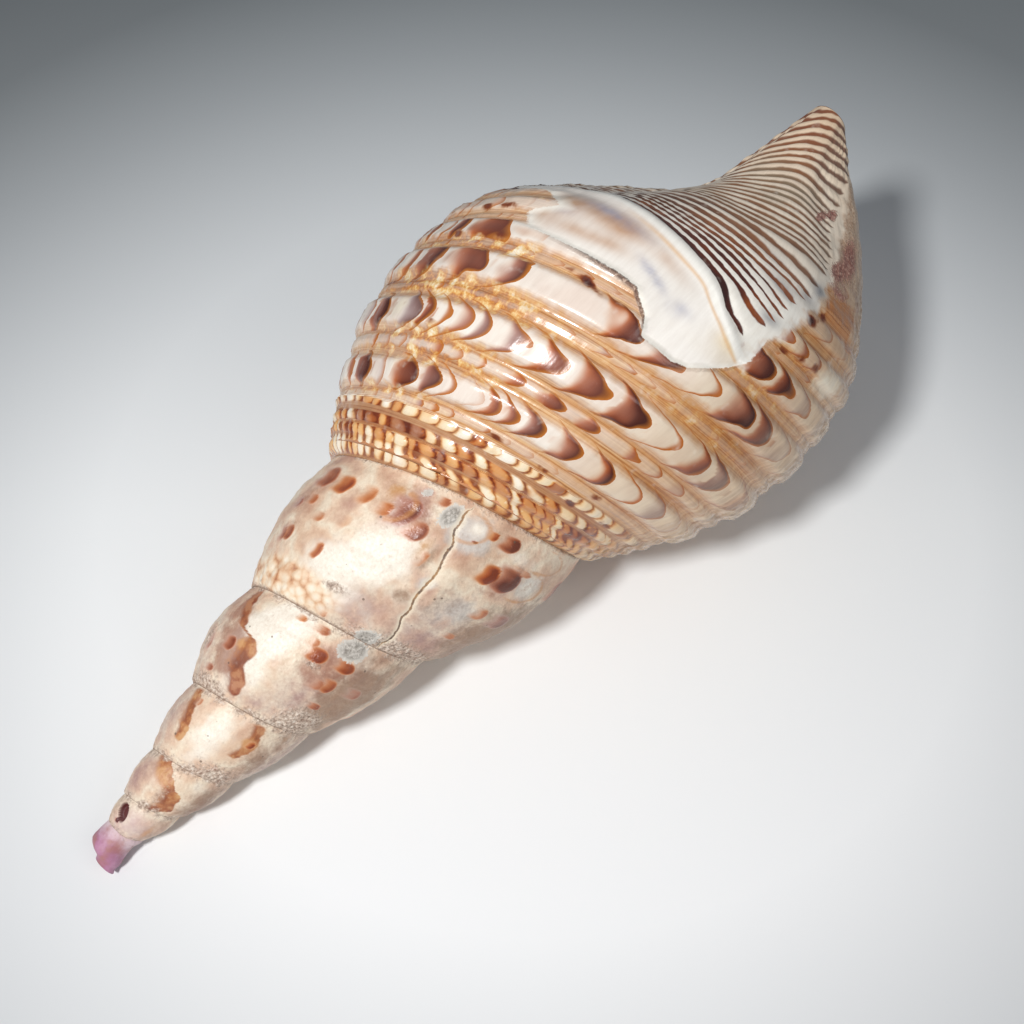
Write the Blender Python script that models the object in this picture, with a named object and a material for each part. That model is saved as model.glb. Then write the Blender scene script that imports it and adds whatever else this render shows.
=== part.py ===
"""Giant triton shell, one hollow piece, lying on its side.

The shell is a right-handed spiral. Every point has a turn angle (degrees, 0 at the outer lip
and negative back towards the apex), a distance z along the shell's axis from the point where
the spire's cone would come to a tip, and a radius r from the axis. The whorl grows by the same
ratio each turn. All shape values here are in millimetres and are turned to metres at the end.
"""

import math

import bmesh
import bpy
import numpy as np
from mathutils import Vector

MM = 0.001

# how the tube coils
WHORL_RATIO = 1.4685       # size of a whorl over the one before it
LIP_SUTURE = 207.6         # z of the suture where the outer lip meets it
SUTURE_DROP = 8.0          # the suture runs forward by this much just before the lip
SUTURE_RISE = 3.5          # and lies back by this much halfway round the last whorl
FIRST_TURN = -2336.0       # where the first whorl starts as a wedge
COLUMN_STEP = 8.0          # degrees between columns of faces

# the worn apex: z, radius and sideways shift of each ring from the first whorl to a small
# broken rim, then z and shift of the middle point inside the rim
APEX_RINGS = ((19.8, 5.9, 0), (17.6, 6.1, 0.4), (15.9, 5.0, 1.6), (14.9, 3.6, 2.8), (14.1, 3.8, 3.3))
APEX_MIDDLE = (14.8, 3.3)
APEX_SHIFT_TURN = -110     # turn angle that the apex leans towards

# the rounded end of the canal, in the same way
CANAL_RINGS = ((353.6, 4.2, 0),)
CANAL_MIDDLE = (354.0, 0)

# suture radius as a share of its z, against turn angle
CONE_TURNS = (-400, -110, 0, 70, 90, 105, 160, 250, 360)
CONE_SHARES = (0.2343, 0.2320, 0.248, 0.270, 0.262, 0.254, 0.2495, 0.2475, 0.238)

# how far a whorl bulges out past the line between its sutures, as a share of its height
BULGE_TURNS = (-1500, -1190, -1010, -830, -650, -470, -290, -110, 0)
BULGE_SHARES = (0.10, 0.07, 0.145, 0.07, 0.10, 0.105, 0.122, 0.138, 0.14)

# rows of faces on a whorl: 0 at its suture, 1 at the next suture's line, 2 at the canal's end
SPIRE_ROWS = (0, 0.09, 0.21, 0.345, 0.5, 0.65, 0.8, 0.92, 1)
BODY_ROWS = (
    0, 0.045, 0.09, 0.15, 0.21,
    0.24, 0.27, 0.31, 0.345, 0.4,
    0.44, 0.475, 0.5, 0.53, 0.56, 0.605,
    0.65, 0.68, 0.735, 0.77, 0.8,
    0.83, 0.86, 0.89, 0.92, 0.95, 1,
)
BASE_ROWS = (1.03, 1.07, 1.12, 1.17, 1.23, 1.29, 1.36, 1.43, 1.5, 1.58, 1.66, 1.75, 1.84, 1.92, 2)

# the base of the last whorl, from below the widest part to the end of the canal: z and r of
# its shoulder, slope, neck, canal and end, at nine turn angles
BASE_OUTLINES = {
    -360: ((246, 45), (266, 31), (287, 16), (320, 8), (350, 4.5)),
    -290: ((262, 50.5), (281, 34), (300, 14.5), (327, 7.6), (351, 4.8)),
    -255: ((260, 50), (280, 32), (300, 14), (325, 8.2), (351.5, 5.2)),
    -225: ((267, 47.5), (284, 31.5), (303, 17), (326, 10.7), (352, 5.6)),
    -200: ((276, 49), (292, 33.5), (309, 20), (330, 12), (352, 6.4)),
    -150: ((290, 55), (306, 40.5), (322, 24.5), (338, 14), (352.5, 7.6)),
    -110: ((299, 59), (314, 47.5), (329, 33.5), (342, 18.5), (352.5, 8.5)),
    -50: ((313, 61.5), (326, 47), (337, 31), (346, 18.5), (353, 10)),
    0: ((326, 61), (335, 47), (342, 32.5), (348.5, 20), (353.5, 12)),
}

# broad flat ribs of the body whorl: row, half width in rows, height
RIBS = (
    (0.29, 0.052, 1.4),
    (0.50, 0.062, 1.6),
    (0.71, 0.062, 1.6),
    (0.875, 0.046, 1.3),
    (1.00, 0.035, 1.0),
)
BEAD_BAND = 0.2            # rows below the suture that are raised as a beaded band
BEAD_BAND_HEIGHT = 0.9

# former lips: turn angle, half width in degrees, height
VARICES = (
    (-7, 9, 3.0),
    (-118, 13, 1.6),
    (-268, 14, 1.5),
    (-415, 13, 1.2),
    (-524, 7, 1.3),
    (-655, 13, 1.1),
    (-800, 14, 0.7),
)

# the glossy layer that the shell laid over the base, from the neck to halfway up the whorl
GLAZE_EDGE_TURNS = (-330, -222, -196, -183, -168, -160, -150, -140)
GLAZE_EDGE_ROWS = (0.88, 0.87, 0.85, 0.72, 0.71, 0.84, 1.0, 1.2)
GLAZE_THICKNESS = 0.7

# a small oval hole in the spire: turn angle, row, half sizes in degrees and in rows, depth
HOLE = (-2039, 0.43, 13, 0.32, 1.5)

# the hollow
WALL = 3.4                 # wall outside the hollow
CALLUS = 0.8               # layer over the earlier whorl, inside the mouth
HOLLOW_START = 7.0         # turn angle in front of the lip where the cut begins
HOLLOW_END = -300.0        # and where it ends, deep inside
CANAL_OPEN_TURN = -24.0    # the canal is cut through its end from here to the lip
HOLLOW_MIN_GAP = 2.4       # the hollow stops where the walls come this close
HOLLOW_RINGS = 9           # points along each side of the hollow's section

# how it lies: on its widest part and its apex, with the axis rising towards the canal and the
# lip turned under; its lowest points are worn flat where they meet the table, at z = 0
TILT = math.radians(16.85)
LIP_DIRECTION = -58.3      # degrees round the axis from +Y, up is +90
CONE_TIP = Vector((-177.0, 5.4, -0.15))


def smooth(x):
    x = np.clip(x, 0.0, 1.0)
    return x * x * (3 - 2 * x)


def suture_z(turn):
    z = LIP_SUTURE * WHORL_RATIO ** (turn / 360)
    z += SUTURE_DROP * smooth((turn + 60) / 130)
    return float(z) - SUTURE_RISE * math.exp(-(((turn + 240) / 45) ** 2))


def suture_r(turn):
    return suture_z(turn) * np.interp(turn, CONE_TURNS, CONE_SHARES)


def curve_through(points, where):
    """Smooth curve through (z, r) points, read at distances along the chords."""
    points = np.array(points, float)
    steps = np.hypot(*np.diff(points, axis=0).T)
    along = np.concatenate(([0.0], np.cumsum(steps)))
    slopes = np.diff(points, axis=0) / steps[:, None]
    tangents = np.empty_like(points)
    before, after = steps[:-1, None], steps[1:, None]
    tangents[1:-1] = (slopes[:-1] * after + slopes[1:] * before) / (before + after)
    tangents[0], tangents[-1] = slopes[0], slopes[-1]
    k = np.clip(np.searchsorted(along, where, side="right") - 1, 0, len(steps) - 1)
    h = steps[k, None]
    s = ((where - along[k]) / steps[k])[:, None]
    return (
        points[k] * (2 * s**3 - 3 * s**2 + 1)
        + tangents[k] * h * (s**3 - 2 * s**2 + s)
        + points[k + 1] * (3 * s**2 - 2 * s**3)
        + tangents[k + 1] * h * (s**3 - s**2)
    )


def upper_outline(turn, rows):
    """z and r from the whorl's own suture to the next suture's line."""
    top_z, top_r = suture_z(turn), suture_r(turn)
    end_z, end_r = suture_z(turn + 360), suture_r(turn + 360)
    if turn < FIRST_TURN + 360:
        wedge = ((turn - FIRST_TURN) / 360) ** 0.6
        top_z = end_z + (top_z - end_z) * wedge
        top_r = end_r + (top_r - end_r) * wedge
    height = end_z - top_z
    bulge = np.interp(turn, BULGE_TURNS, BULGE_SHARES) * height
    z = top_z + height * rows
    r = top_r + (end_r - top_r) * rows + bulge * np.sin(np.pi * rows**0.95)
    return np.column_stack((z, r))


def base_outline(turn, rows):
    """z and r from the next suture's line to the end of the canal, for the last whorl."""
    turns = sorted(BASE_OUTLINES)
    stations = [
        [np.interp(turn, turns, [BASE_OUTLINES[t][k][axis] for t in turns]) for axis in (0, 1)]
        for k in range(5)
    ]
    lead_in = upper_outline(turn, np.array([0.85, 1.0]))
    points = np.vstack((lead_in, stations))
    steps = np.hypot(*np.diff(points, axis=0).T)
    return curve_through(points, steps[0] + (steps.sum() - steps[0]) * (rows - 1))


def outline(turn, rows):
    """Section of the smooth shell at one turn angle, as z and r for each row."""
    rows = np.asarray(rows, float)
    upper = upper_outline(turn, rows[rows <= 1])
    if turn < -360 or rows[-1] <= 1:
        return upper
    return np.vstack((upper, base_outline(turn, rows[rows > 1])))


def relief(turn, rows):
    """Height of the ribs, beaded band, former lips and glaze above the smooth shell."""
    rows = np.asarray(rows, float)
    size = WHORL_RATIO ** (turn / 360)
    worn = 1.0 - 0.7 * smooth((-turn - 360) / 90)
    height = np.zeros_like(rows)
    for middle, half, rise in RIBS:
        flat_top = 1 - smooth((np.abs(rows - middle) / half - 0.55) / 0.6)
        height += rise * worn * flat_top
    height += BEAD_BAND_HEIGHT * np.sin(np.pi * np.clip(rows / BEAD_BAND, 0, 1)) ** 0.6
    fade_to_canal = 1 - smooth((rows - 1.0) / 0.5)
    height *= fade_to_canal
    for at, half, rise in VARICES:
        swell = math.exp(-(((turn - at) / half) ** 2))
        height += rise * swell * np.sin(np.pi * np.clip(rows / 2.05, 0.06, 1)) ** 0.5
    if turn > -330:
        edge = np.interp(turn, GLAZE_EDGE_TURNS, GLAZE_EDGE_ROWS)
        over = smooth((rows - edge) / 0.03) * (1 - smooth((turn + 158) / 16))
        height = height * (1 - 0.65 * over) + GLAZE_THICKNESS * over
    sewn = smooth(rows / 0.05) * (1 - smooth((rows - 1.93) / 0.07))
    if turn <= -360:
        sewn *= 1 - smooth((rows - 0.95) / 0.05)
    at, middle, half, half_rows, depth = HOLE
    away = ((turn - at) / half) ** 2 + ((rows - middle) / half_rows) ** 2
    return size * height * sewn - depth * smooth((1.2 - away) / 0.5)


def raised_outline(turn, rows):
    """Section of the shell with its relief."""
    fine = np.linspace(0, 2 if turn >= -360 else 1, 81)
    smooth_line = outline(turn, fine)
    along = np.gradient(smooth_line, fine, axis=0)
    outward = np.column_stack((-along[:, 1], along[:, 0]))
    outward /= np.linalg.norm(outward, axis=1)[:, None]
    rows = np.asarray(rows, float)
    normal = np.column_stack([np.interp(rows, fine, outward[:, axis]) for axis in (0, 1)])
    return outline(turn, rows) + normal * relief(turn, rows)[:, None]


def place(turn, z, r):
    """Point of the lying shell, in metres."""
    axis = Vector((math.cos(TILT), 0, math.sin(TILT)))
    up = Vector((-math.sin(TILT), 0, math.cos(TILT)))
    around = math.radians(turn + LIP_DIRECTION)
    outward = math.cos(around) * Vector((0, 1, 0)) + math.sin(around) * up
    return (CONE_TIP + float(z) * axis + float(r) * outward) * MM


def build_outer(bm):
    """The whole shell as a closed solid: coiled strip, worn apex, canal end and lip face."""
    columns = int(round(-FIRST_TURN / COLUMN_STEP))
    per_turn = int(round(360 / COLUMN_STEP))
    last_start = columns - per_turn
    all_rows = BODY_ROWS + BASE_ROWS
    next_line = len(BODY_ROWS) - 1
    spire_index = [BODY_ROWS.index(row) for row in SPIRE_ROWS]
    verts = {}

    # the columns, sewn so that a whorl's lower edge is the suture of the whorl after it; the
    # first whorl starts as a wedge, so its first column is one point
    for i in range(1, columns + 1):
        turn = FIRST_TURN + i * COLUMN_STEP
        rows = all_rows if i >= last_start else SPIRE_ROWS
        index = range(len(rows)) if i >= last_start else spire_index
        for j, (z, r) in zip(index, raised_outline(turn, rows)):
            if j == next_line and i <= last_start:
                continue
            verts[i, j] = bm.verts.new(place(turn, z, r))

    def vert(i, j):
        if i == 0:
            return verts[per_turn, 0]
        return verts[i + per_turn, 0] if j == next_line and i <= last_start else verts[i, j]

    for i in range(columns):
        rows = spire_index if i < last_start else list(range(len(all_rows)))
        for a, b in zip(rows[:-1], rows[1:]):
            ahead = range(b, a - 1, -1) if i + 1 >= last_start else (b, a)
            loop = [vert(i, a), vert(i, b)] + [vert(i + 1, j) for j in ahead]
            bm.faces.new(list(dict.fromkeys(loop)))

    # the lip face lies between the outer lip and the wall of the earlier whorl
    last_row = len(all_rows) - 1
    lip = [verts[columns, j] for j in range(last_row + 1)]
    inner_lip = [verts[last_start, j] for j in range(last_row, next_line, -1)]
    bm.faces.new(lip + inner_lip)

    # the worn apex and the rounded end of the canal are closed with rings
    apex_edge = [verts[i, 0] for i in range(1, per_turn + 1)]
    apex_turns = [FIRST_TURN + i * COLUMN_STEP for i in range(1, per_turn + 1)]
    close_end(bm, apex_edge, apex_turns, APEX_RINGS, APEX_MIDDLE)
    canal_edge = [verts[i, last_row] for i in range(last_start, columns + 1)]
    canal_turns = [i * COLUMN_STEP for i in range(-per_turn, 1)]
    close_end(bm, canal_edge, canal_turns, CANAL_RINGS, CANAL_MIDDLE)
    flatten_below_table(bm)


def flatten_below_table(bm):
    """Cut off what lies below the table and close the cuts with flat faces."""
    everything = bm.verts[:] + bm.edges[:] + bm.faces[:]
    table = bmesh.ops.bisect_plane(
        bm, geom=everything, plane_co=(0, 0, 0), plane_no=(0, 0, -1), clear_outer=True
    )
    rims = [item for item in table["geom_cut"] if isinstance(item, bmesh.types.BMEdge)]
    bmesh.ops.contextual_create(bm, geom=rims)


def shifted(turn, z, r, shift):
    """Point on a ring whose middle lies off the axis."""
    lean = place(APEX_SHIFT_TURN, z, shift) - place(0, z, 0)
    return place(turn, z, r) + lean


def close_end(bm, edge, turns, rings, middle):
    """Close an end of the shell with rings of vertices and a middle point."""
    for z, r, shift in rings:
        ring = [bm.verts.new(shifted(turn, z, r, shift)) for turn in turns]
        for k in range(len(edge)):
            n = (k + 1) % len(edge)
            bm.faces.new((edge[k], edge[n], ring[n], ring[k]))
        edge = ring
    centre = bm.verts.new(shifted(0, middle[0], 0, middle[1]))
    for k in range(len(edge)):
        bm.faces.new((edge[k], edge[(k + 1) % len(edge)], centre))


def hollow_section(turn):
    """Closed z, r section of the hollow, between the outer wall and the earlier whorl."""
    z = np.linspace(suture_z(turn) + 2, 366, 400)
    shell = outline(min(turn, 0), np.linspace(0, 2, 161))
    outer = np.interp(z, shell[:, 0], shell[:, 1])
    slope = np.gradient(outer, z)
    outer = outer - WALL * np.sqrt(1 + np.clip(slope, -1.5, 1.5) ** 2)
    size = WHORL_RATIO ** (turn / 360)
    earlier = base_outline(-360, np.linspace(1, 2, 81)) * size
    inner = np.interp(z, earlier[:, 0], earlier[:, 1]) + CALLUS + 0.12 * max(turn, 0)
    wide = np.flatnonzero(outer - inner > HOLLOW_MIN_GAP)
    first = wide[0]
    gaps = np.flatnonzero(np.diff(wide) > 1)
    last = wide[gaps[0]] if len(gaps) else wide[-1]
    if turn < CANAL_OPEN_TURN:
        last = min(last, np.searchsorted(z, 350 + 0.1 * turn))
    spread = (1 - np.cos(np.linspace(0, np.pi, HOLLOW_RINGS))) / 2
    at = z[first] + (z[last] - z[first]) * spread
    outer_side = np.column_stack((at, np.interp(at, z, outer)))
    inner_side = np.column_stack((at, np.interp(at, z, inner)))
    return np.vstack((outer_side, inner_side[::-1]))


def build_hollow(bm):
    """The cutter for the hollow: sections from in front of the lip back round the whorl."""
    turns = np.arange(HOLLOW_START, HOLLOW_END, -COLUMN_STEP)
    rings = []
    for turn in turns:
        rings.append([bm.verts.new(place(turn, z, r)) for z, r in hollow_section(turn)])
    for near, far in zip(rings[:-1], rings[1:]):
        for k in range(len(near)):
            n = (k + 1) % len(near)
            bm.faces.new((near[k], near[n], far[n], far[k]))
    bm.faces.new(rings[0])
    bm.faces.new(list(reversed(rings[-1])))


def new_object(name, build, material=None):
    bm = bmesh.new()
    build(bm)
    bmesh.ops.recalc_face_normals(bm, faces=bm.faces)
    mesh = bpy.data.meshes.new(name)
    bm.to_mesh(mesh)
    bm.free()
    mesh.shade_smooth()
    if material:
        mesh.materials.append(material)
    obj = bpy.data.objects.new(name, mesh)
    bpy.context.scene.collection.objects.link(obj)
    return obj


def shell_material():
    material = bpy.data.materials.new("worn glossy shell")
    material.use_nodes = True
    surface = material.node_tree.nodes["Principled BSDF"]
    surface.inputs["Base Color"].default_value = (0.70, 0.52, 0.40, 1)
    surface.inputs["Roughness"].default_value = 0.35
    surface.inputs["Metallic"].default_value = 0
    return material


def main():
    for obj in list(bpy.data.objects):
        bpy.data.objects.remove(obj, do_unlink=True)
    shell = new_object("triton_shell", build_outer, shell_material())
    hollow = new_object("hollow_cutter", build_hollow)
    hollow.hide_render = True
    hollow.display_type = "WIRE"
    cut = shell.modifiers.new("hollow", "BOOLEAN")
    cut.operation = "DIFFERENCE"
    cut.object = hollow
    cut.solver = "EXACT"


main()
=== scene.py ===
import math
from functools import partial

import bmesh
import bpy
import numpy as np
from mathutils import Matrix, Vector, noise


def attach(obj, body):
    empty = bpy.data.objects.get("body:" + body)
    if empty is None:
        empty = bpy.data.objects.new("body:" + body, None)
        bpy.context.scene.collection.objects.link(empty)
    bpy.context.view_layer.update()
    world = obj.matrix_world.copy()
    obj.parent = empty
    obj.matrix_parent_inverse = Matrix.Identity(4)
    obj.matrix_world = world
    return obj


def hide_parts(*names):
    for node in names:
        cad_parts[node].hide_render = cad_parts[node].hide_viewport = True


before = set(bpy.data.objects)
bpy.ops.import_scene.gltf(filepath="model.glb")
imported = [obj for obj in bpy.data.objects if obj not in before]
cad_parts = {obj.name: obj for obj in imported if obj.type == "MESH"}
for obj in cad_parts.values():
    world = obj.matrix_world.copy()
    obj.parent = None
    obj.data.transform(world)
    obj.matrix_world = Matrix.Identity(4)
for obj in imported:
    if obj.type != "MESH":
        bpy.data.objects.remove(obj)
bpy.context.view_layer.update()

mm = 0.001      # one millimetre in metres

# A giant triton shell. Every point has a turn angle (degrees, 0 at the outer lip, negative
# towards the apex), z along the shell's axis from the cone's tip and a radius r, all in mm.
# A row is 0 at the whorl's own suture, 1 at the next suture's line, 2 at the canal's end.

shellForm = {
    "whorlRatio": 1.4685,      # size of a whorl over the one before it
    "lipSuture": 207.6,        # z of the suture at the outer lip
    "sutureDrop": 8.0,
    "sutureRise": 3.5,
    "firstTurn": -2336,
    "coneTurns": (-400, -110, 0, 70, 90, 105, 160, 250, 360),
    "coneShares": (0.2343, 0.2320, 0.248, 0.270, 0.262, 0.254, 0.2495, 0.2475, 0.238),
    "bulgeTurns": (-1500, -1190, -1010, -830, -650, -470, -290, -110, 0),
    "bulgeShares": (0.10, 0.07, 0.145, 0.07, 0.10, 0.105, 0.122, 0.138, 0.14),
    "baseOutlines": {          # z and r of shoulder, slope, neck, canal and end, by turn angle
        -360: ((246, 45), (266, 31), (287, 16), (320, 8), (350, 4.5)),
        -290: ((262, 50.5), (281, 34), (300, 14.5), (327, 7.6), (351, 4.8)),
        -255: ((260, 50), (280, 32), (300, 14), (325, 8.2), (351.5, 5.2)),
        -225: ((267, 47.5), (284, 31.5), (303, 17), (326, 10.7), (352, 5.6)),
        -200: ((276, 49), (292, 33.5), (309, 20), (330, 12), (352, 6.4)),
        -150: ((290, 55), (306, 40.5), (322, 24.5), (338, 14), (352.5, 7.6)),
        -110: ((299, 59), (314, 47.5), (329, 33.5), (342, 18.5), (352.5, 8.5)),
        -50: ((313, 61.5), (326, 47), (337, 31), (346, 18.5), (353, 10)),
        0: ((326, 61), (335, 47), (342, 32.5), (348.5, 20), (353.5, 12)),
    },
    "apexRings": ((19.8, 5.9, 0), (17.6, 6.1, 0.4), (15.9, 5.0, 1.6), (14.9, 3.6, 2.8), (14.1, 3.8, 3.3)),
    "apexMiddle": (14.8, 0.0, 3.3),
    "apexShiftTurn": -110,
    "canalTip": 354.0,
    "tilt": 16.85,
    "lipDirection": -58.3,     # degrees round the axis from +Y, up is +90
    "coneTip": (-177.0, 5.4, -0.15),
}


def smooth(x):
    x = np.clip(x, 0.0, 1.0)
    return x * x * (3 - 2 * x)


def bump(x, middle, half):
    return smooth(1 - np.abs(x - middle) / half)


def growth(turn):
    return shellForm["whorlRatio"] ** (turn / 360)


def sutureZ(turn):
    z = shellForm["lipSuture"] * growth(turn) + shellForm["sutureDrop"] * smooth((turn + 60) / 130)
    return z - shellForm["sutureRise"] * np.exp(-(((turn + 240) / 45) ** 2))


def sutureR(turn):
    return sutureZ(turn) * np.interp(turn, shellForm["coneTurns"], shellForm["coneShares"])


def upperOutline(turn, row):
    topZ, topR, endZ, endR = sutureZ(turn), sutureR(turn), sutureZ(turn + 360), sutureR(turn + 360)
    wedge = np.clip((turn - shellForm["firstTurn"]) / 360, 0, 1) ** 0.6
    topZ = endZ + (topZ - endZ) * wedge
    topR = endR + (topR - endR) * wedge
    height = endZ - topZ
    swell = np.interp(turn, shellForm["bulgeTurns"], shellForm["bulgeShares"]) * height
    r = topR + (endR - topR) * row + swell * np.sin(np.pi * np.clip(row, 0, 1) ** 0.95)
    return topZ + height * row, r


def curveThrough(points, where):
    # a smooth curve through the points, at these distances along it
    points = np.array(points, float)
    steps = np.linalg.norm(np.diff(points, axis=0), axis=1)
    along = np.concatenate(([0.0], np.cumsum(steps)))
    slopes = np.diff(points, axis=0) / steps[:, None]
    tangents = np.empty_like(points)
    before, after = steps[:-1, None], steps[1:, None]
    tangents[1:-1] = (slopes[:-1] * after + slopes[1:] * before) / (before + after)
    tangents[0], tangents[-1] = slopes[0], slopes[-1]
    k = np.clip(np.searchsorted(along, where, side="right") - 1, 0, len(steps) - 1)
    h = steps[k, None]
    s = ((where - along[k]) / steps[k])[:, None]
    return (
        points[k] * (2 * s**3 - 3 * s**2 + 1)
        + tangents[k] * h * (s**3 - 2 * s**2 + s)
        + points[k + 1] * (3 * s**2 - 2 * s**3)
        + tangents[k + 1] * h * (s**3 - s**2)
    )


def baseOutline(turn, rows):
    outlines = shellForm["baseOutlines"]
    turns = sorted(outlines)
    stations = [[np.interp(turn, turns, [outlines[t][k][i] for t in turns]) for i in (0, 1)]
                for k in range(5)]
    leadIn = np.column_stack(upperOutline(float(turn), np.array([0.85, 1.0])))
    points = np.vstack((leadIn, stations))
    steps = np.linalg.norm(np.diff(points, axis=0), axis=1)
    return curveThrough(points, steps[0] + (steps.sum() - steps[0]) * (rows - 1)).T


def shellAxis():
    # the direction of the shell's axis, and the one at right angles to it that points up
    tilt = math.radians(shellForm["tilt"])
    return np.array((math.cos(tilt), 0, math.sin(tilt))), np.array((-math.sin(tilt), 0, math.cos(tilt)))


def place(turn, z, r):
    # shell coordinates as points in the scene, in metres
    axis, up = shellAxis()
    side = np.array((0.0, 1.0, 0.0))
    around = np.radians(np.asarray(turn, float) + shellForm["lipDirection"])[..., None]
    outward = np.cos(around) * side + np.sin(around) * up
    z, r = np.asarray(z, float)[..., None], np.asarray(r, float)[..., None]
    return (np.array(shellForm["coneTip"]) + z * axis + r * outward) * mm


def gridNormals(points):
    # directions away from the axis, square to a grid of points
    across = np.cross(np.gradient(points, axis=0), np.gradient(points, axis=1))
    length = np.linalg.norm(across, axis=2, keepdims=True)
    across /= np.maximum(length, 1e-12)
    axis, _ = shellAxis()
    fromAxis = points - np.array(shellForm["coneTip"]) * mm
    fromAxis -= (fromAxis @ axis)[..., None] * axis
    return across * np.where((across * fromAxis).sum(axis=2, keepdims=True) < 0, -1, 1)


def waves(x, y, seed, count=7):
    # smooth random waves, the same each time for one seed
    random = np.random.default_rng(seed)
    circle = 6.283
    total = np.zeros(np.broadcast(x, y).shape)
    for _ in range(count):
        angle, phase, pitch = random.uniform(0, circle), random.uniform(0, circle), random.uniform(0.6, 1.7)
        total += np.sin((x * math.cos(angle) + y * math.sin(angle)) * pitch * circle + phase)
    return total / count


def grain(points, size, seed=0.0):
    # rough noise with lumps of this size in mm
    shape = points.shape[:2]
    scaled = points.reshape(-1, 3) / (size * mm) + seed
    values = [noise.fractal(p, 0.9, 2.1, 4) for p in scaled.tolist()]
    return np.array(values).reshape(shape)


# The raised bands of the last whorl. Each mark on a band is a crescent: the turn angle of its
# front edge, the share of its cell that is dark, how dark it is and how grey rather than brown.
# The cells beyond the first and last marks are drawn at random, at about the pitch in degrees,
# with one of the inks.
plainBand = {
    "bend": 6,                 # degrees that a crescent's middle runs ahead of its ends
    "pitch": 8,
    "ground": 1.0,             # white ground on 1, tan on 0
    "inks": (0.4, 0.55, 0.75, 0.95),
    "marks": (),
}

bands = {
    "ribA": {"middle": 0.296, "half": 0.048, "height": 1.4, "bend": 7, "pitch": 11, "marks": (
        (-243, 0.85, 0.95, 0.15), (-235, 0.5, 0.3, 1.0), (-221.5, 0.8, 0.85, 0.0), (-213, 0.7, 0.9, 0.35),
        (-208.5, 0.4, 0.5, 0.3), (-199, 0.2, 0.15, 0.0), (-193.5, 0.8, 0.75, 0.0), (-188, 0.6, 0.8, 0.1),
        (-179.5, 0.7, 0.9, 0.3), (-168, 0.6, 0.85, 0.15), (-156, 0.5, 1.0, 0.0), (-146, 0.25, 0.45, 0.0),
        (-133, 0.6, 0.55, 0.8), (-124, 0.7, 0.45, 0.9))},
    "ribB": {"middle": 0.500, "half": 0.062, "height": 1.6, "bend": 9, "pitch": 11, "marks": (
        (-247.5, 0.9, 1.0, 0.15), (-232.5, 0.5, 0.75, 0.9), (-228, 0.9, 0.9, 0.0), (-221.5, 0.3, 0.5, 0.0),
        (-215.5, 0.7, 0.55, 0.2), (-209, 0.6, 0.75, 0.5), (-199, 0.5, 0.65, 0.5), (-188.7, 0.6, 0.7, 0.0),
        (-176, 0.6, 0.8, 0.05), (-164, 0.75, 1.0, 0.1), (-154.4, 0.2, 0.45, 0.0), (-141, 0.5, 0.75, 0.1),
        (-132.7, 0.8, 0.9, 0.6))},
    "ribC": {"middle": 0.710, "half": 0.064, "height": 1.6, "bend": 9, "pitch": 12, "marks": (
        (-251, 0.5, 0.6, 0.0), (-239.5, 0.8, 0.9, 0.2), (-223.7, 0.75, 0.75, 0.1), (-211, 0.55, 0.85, 0.3),
        (-180, 0.3, 0.9, 0.0), (-168.4, 0.6, 0.85, 0.1), (-158, 0.2, 0.45, 0.0), (-144, 0.65, 1.0, 0.2),
        (-136, 0.8, 0.95, 0.15), (-125, 0.6, 0.45, 0.9))},
    "ribD": {"middle": 0.870, "half": 0.052, "height": 1.3, "bend": 7, "pitch": 10, "marks": (
        (-244, 0.7, 1.0, 0.1), (-229, 0.8, 0.75, 0.0), (-160, 0.4, 0.5, 0.0), (-148.5, 0.8, 1.0, 0.1),
        (-140.7, 0.85, 1.0, 0.0), (-130.6, 0.5, 0.5, 0.8), (-118, 0.5, 0.4, 0.9))},
    "ribE": {"middle": 1.005, "half": 0.034, "height": 1.0, "ground": 0.7, "inks": (0.1, 0.3, 0.4), "marks": (
        (-151, 0.4, 0.5, 0.2), (-144, 0.5, 0.6, 0.2), (-137, 0.4, 0.6, 0.5))},
    "ribF": {"middle": 1.105, "half": 0.034, "height": 0.7, "ground": 0.6, "inks": (0.1, 0.2, 0.3)},
    "ribG": {"middle": 1.200, "half": 0.034, "height": 0.6, "ground": 0.6, "inks": (0.1, 0.2, 0.3)},
    "cordAB": {"middle": 0.396, "half": 0.022, "height": 0.5, "bend": 3, "pitch": 7, "ground": 0.6,
               "inks": (0, 0.3, 0.5), "marks": (
        (-204, 0.3, 0.4, 0.0), (-193, 0.5, 0.6, 0.0), (-181, 0.6, 0.8, 0.1), (-171, 0.6, 0.75, 0.1),
        (-156, 0.4, 0.5, 0.1), (-148, 0.4, 0.4, 0.2), (-138, 0.5, 0.4, 0.4))},
    "cordBC": {"middle": 0.605, "half": 0.014, "height": 0.45},
    "cordCD": {"middle": 0.797, "half": 0.014, "height": 0.45},
    "cordDE": {"middle": 0.945, "half": 0.012, "height": 0.4},
    "beadsA": {"middle": 0.034, "half": 0.025, "bend": 1.5, "pitch": 5.0, "inks": (0.15, 0.3, 0.5, 0.6, 0.8)},
    "beadsB": {"middle": 0.086, "half": 0.0145, "bend": 1, "pitch": 5.0, "inks": (0.3, 0.6, 0.8, 1.0)},
    "beadsC": {"middle": 0.127, "half": 0.0145, "bend": 1, "pitch": 6.4, "inks": (0.15, 0.3, 0.7, 0.95)},
    "beadsD": {"middle": 0.178, "half": 0.0145, "bend": 1, "pitch": 5.8, "inks": (0.15, 0.35, 0.7, 0.95)},
    "cordE": {"middle": 0.220, "half": 0.014, "height": 0.5, "bend": 2, "pitch": 6.4, "ground": 0.4,
              "inks": (0, 0.2, 0.5)},
}
for name in ("cordBC", "cordCD", "cordDE"):
    bands[name].update(bend=3, ground=0.25, inks=(0, 0, 0.25, 0.4))
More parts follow.
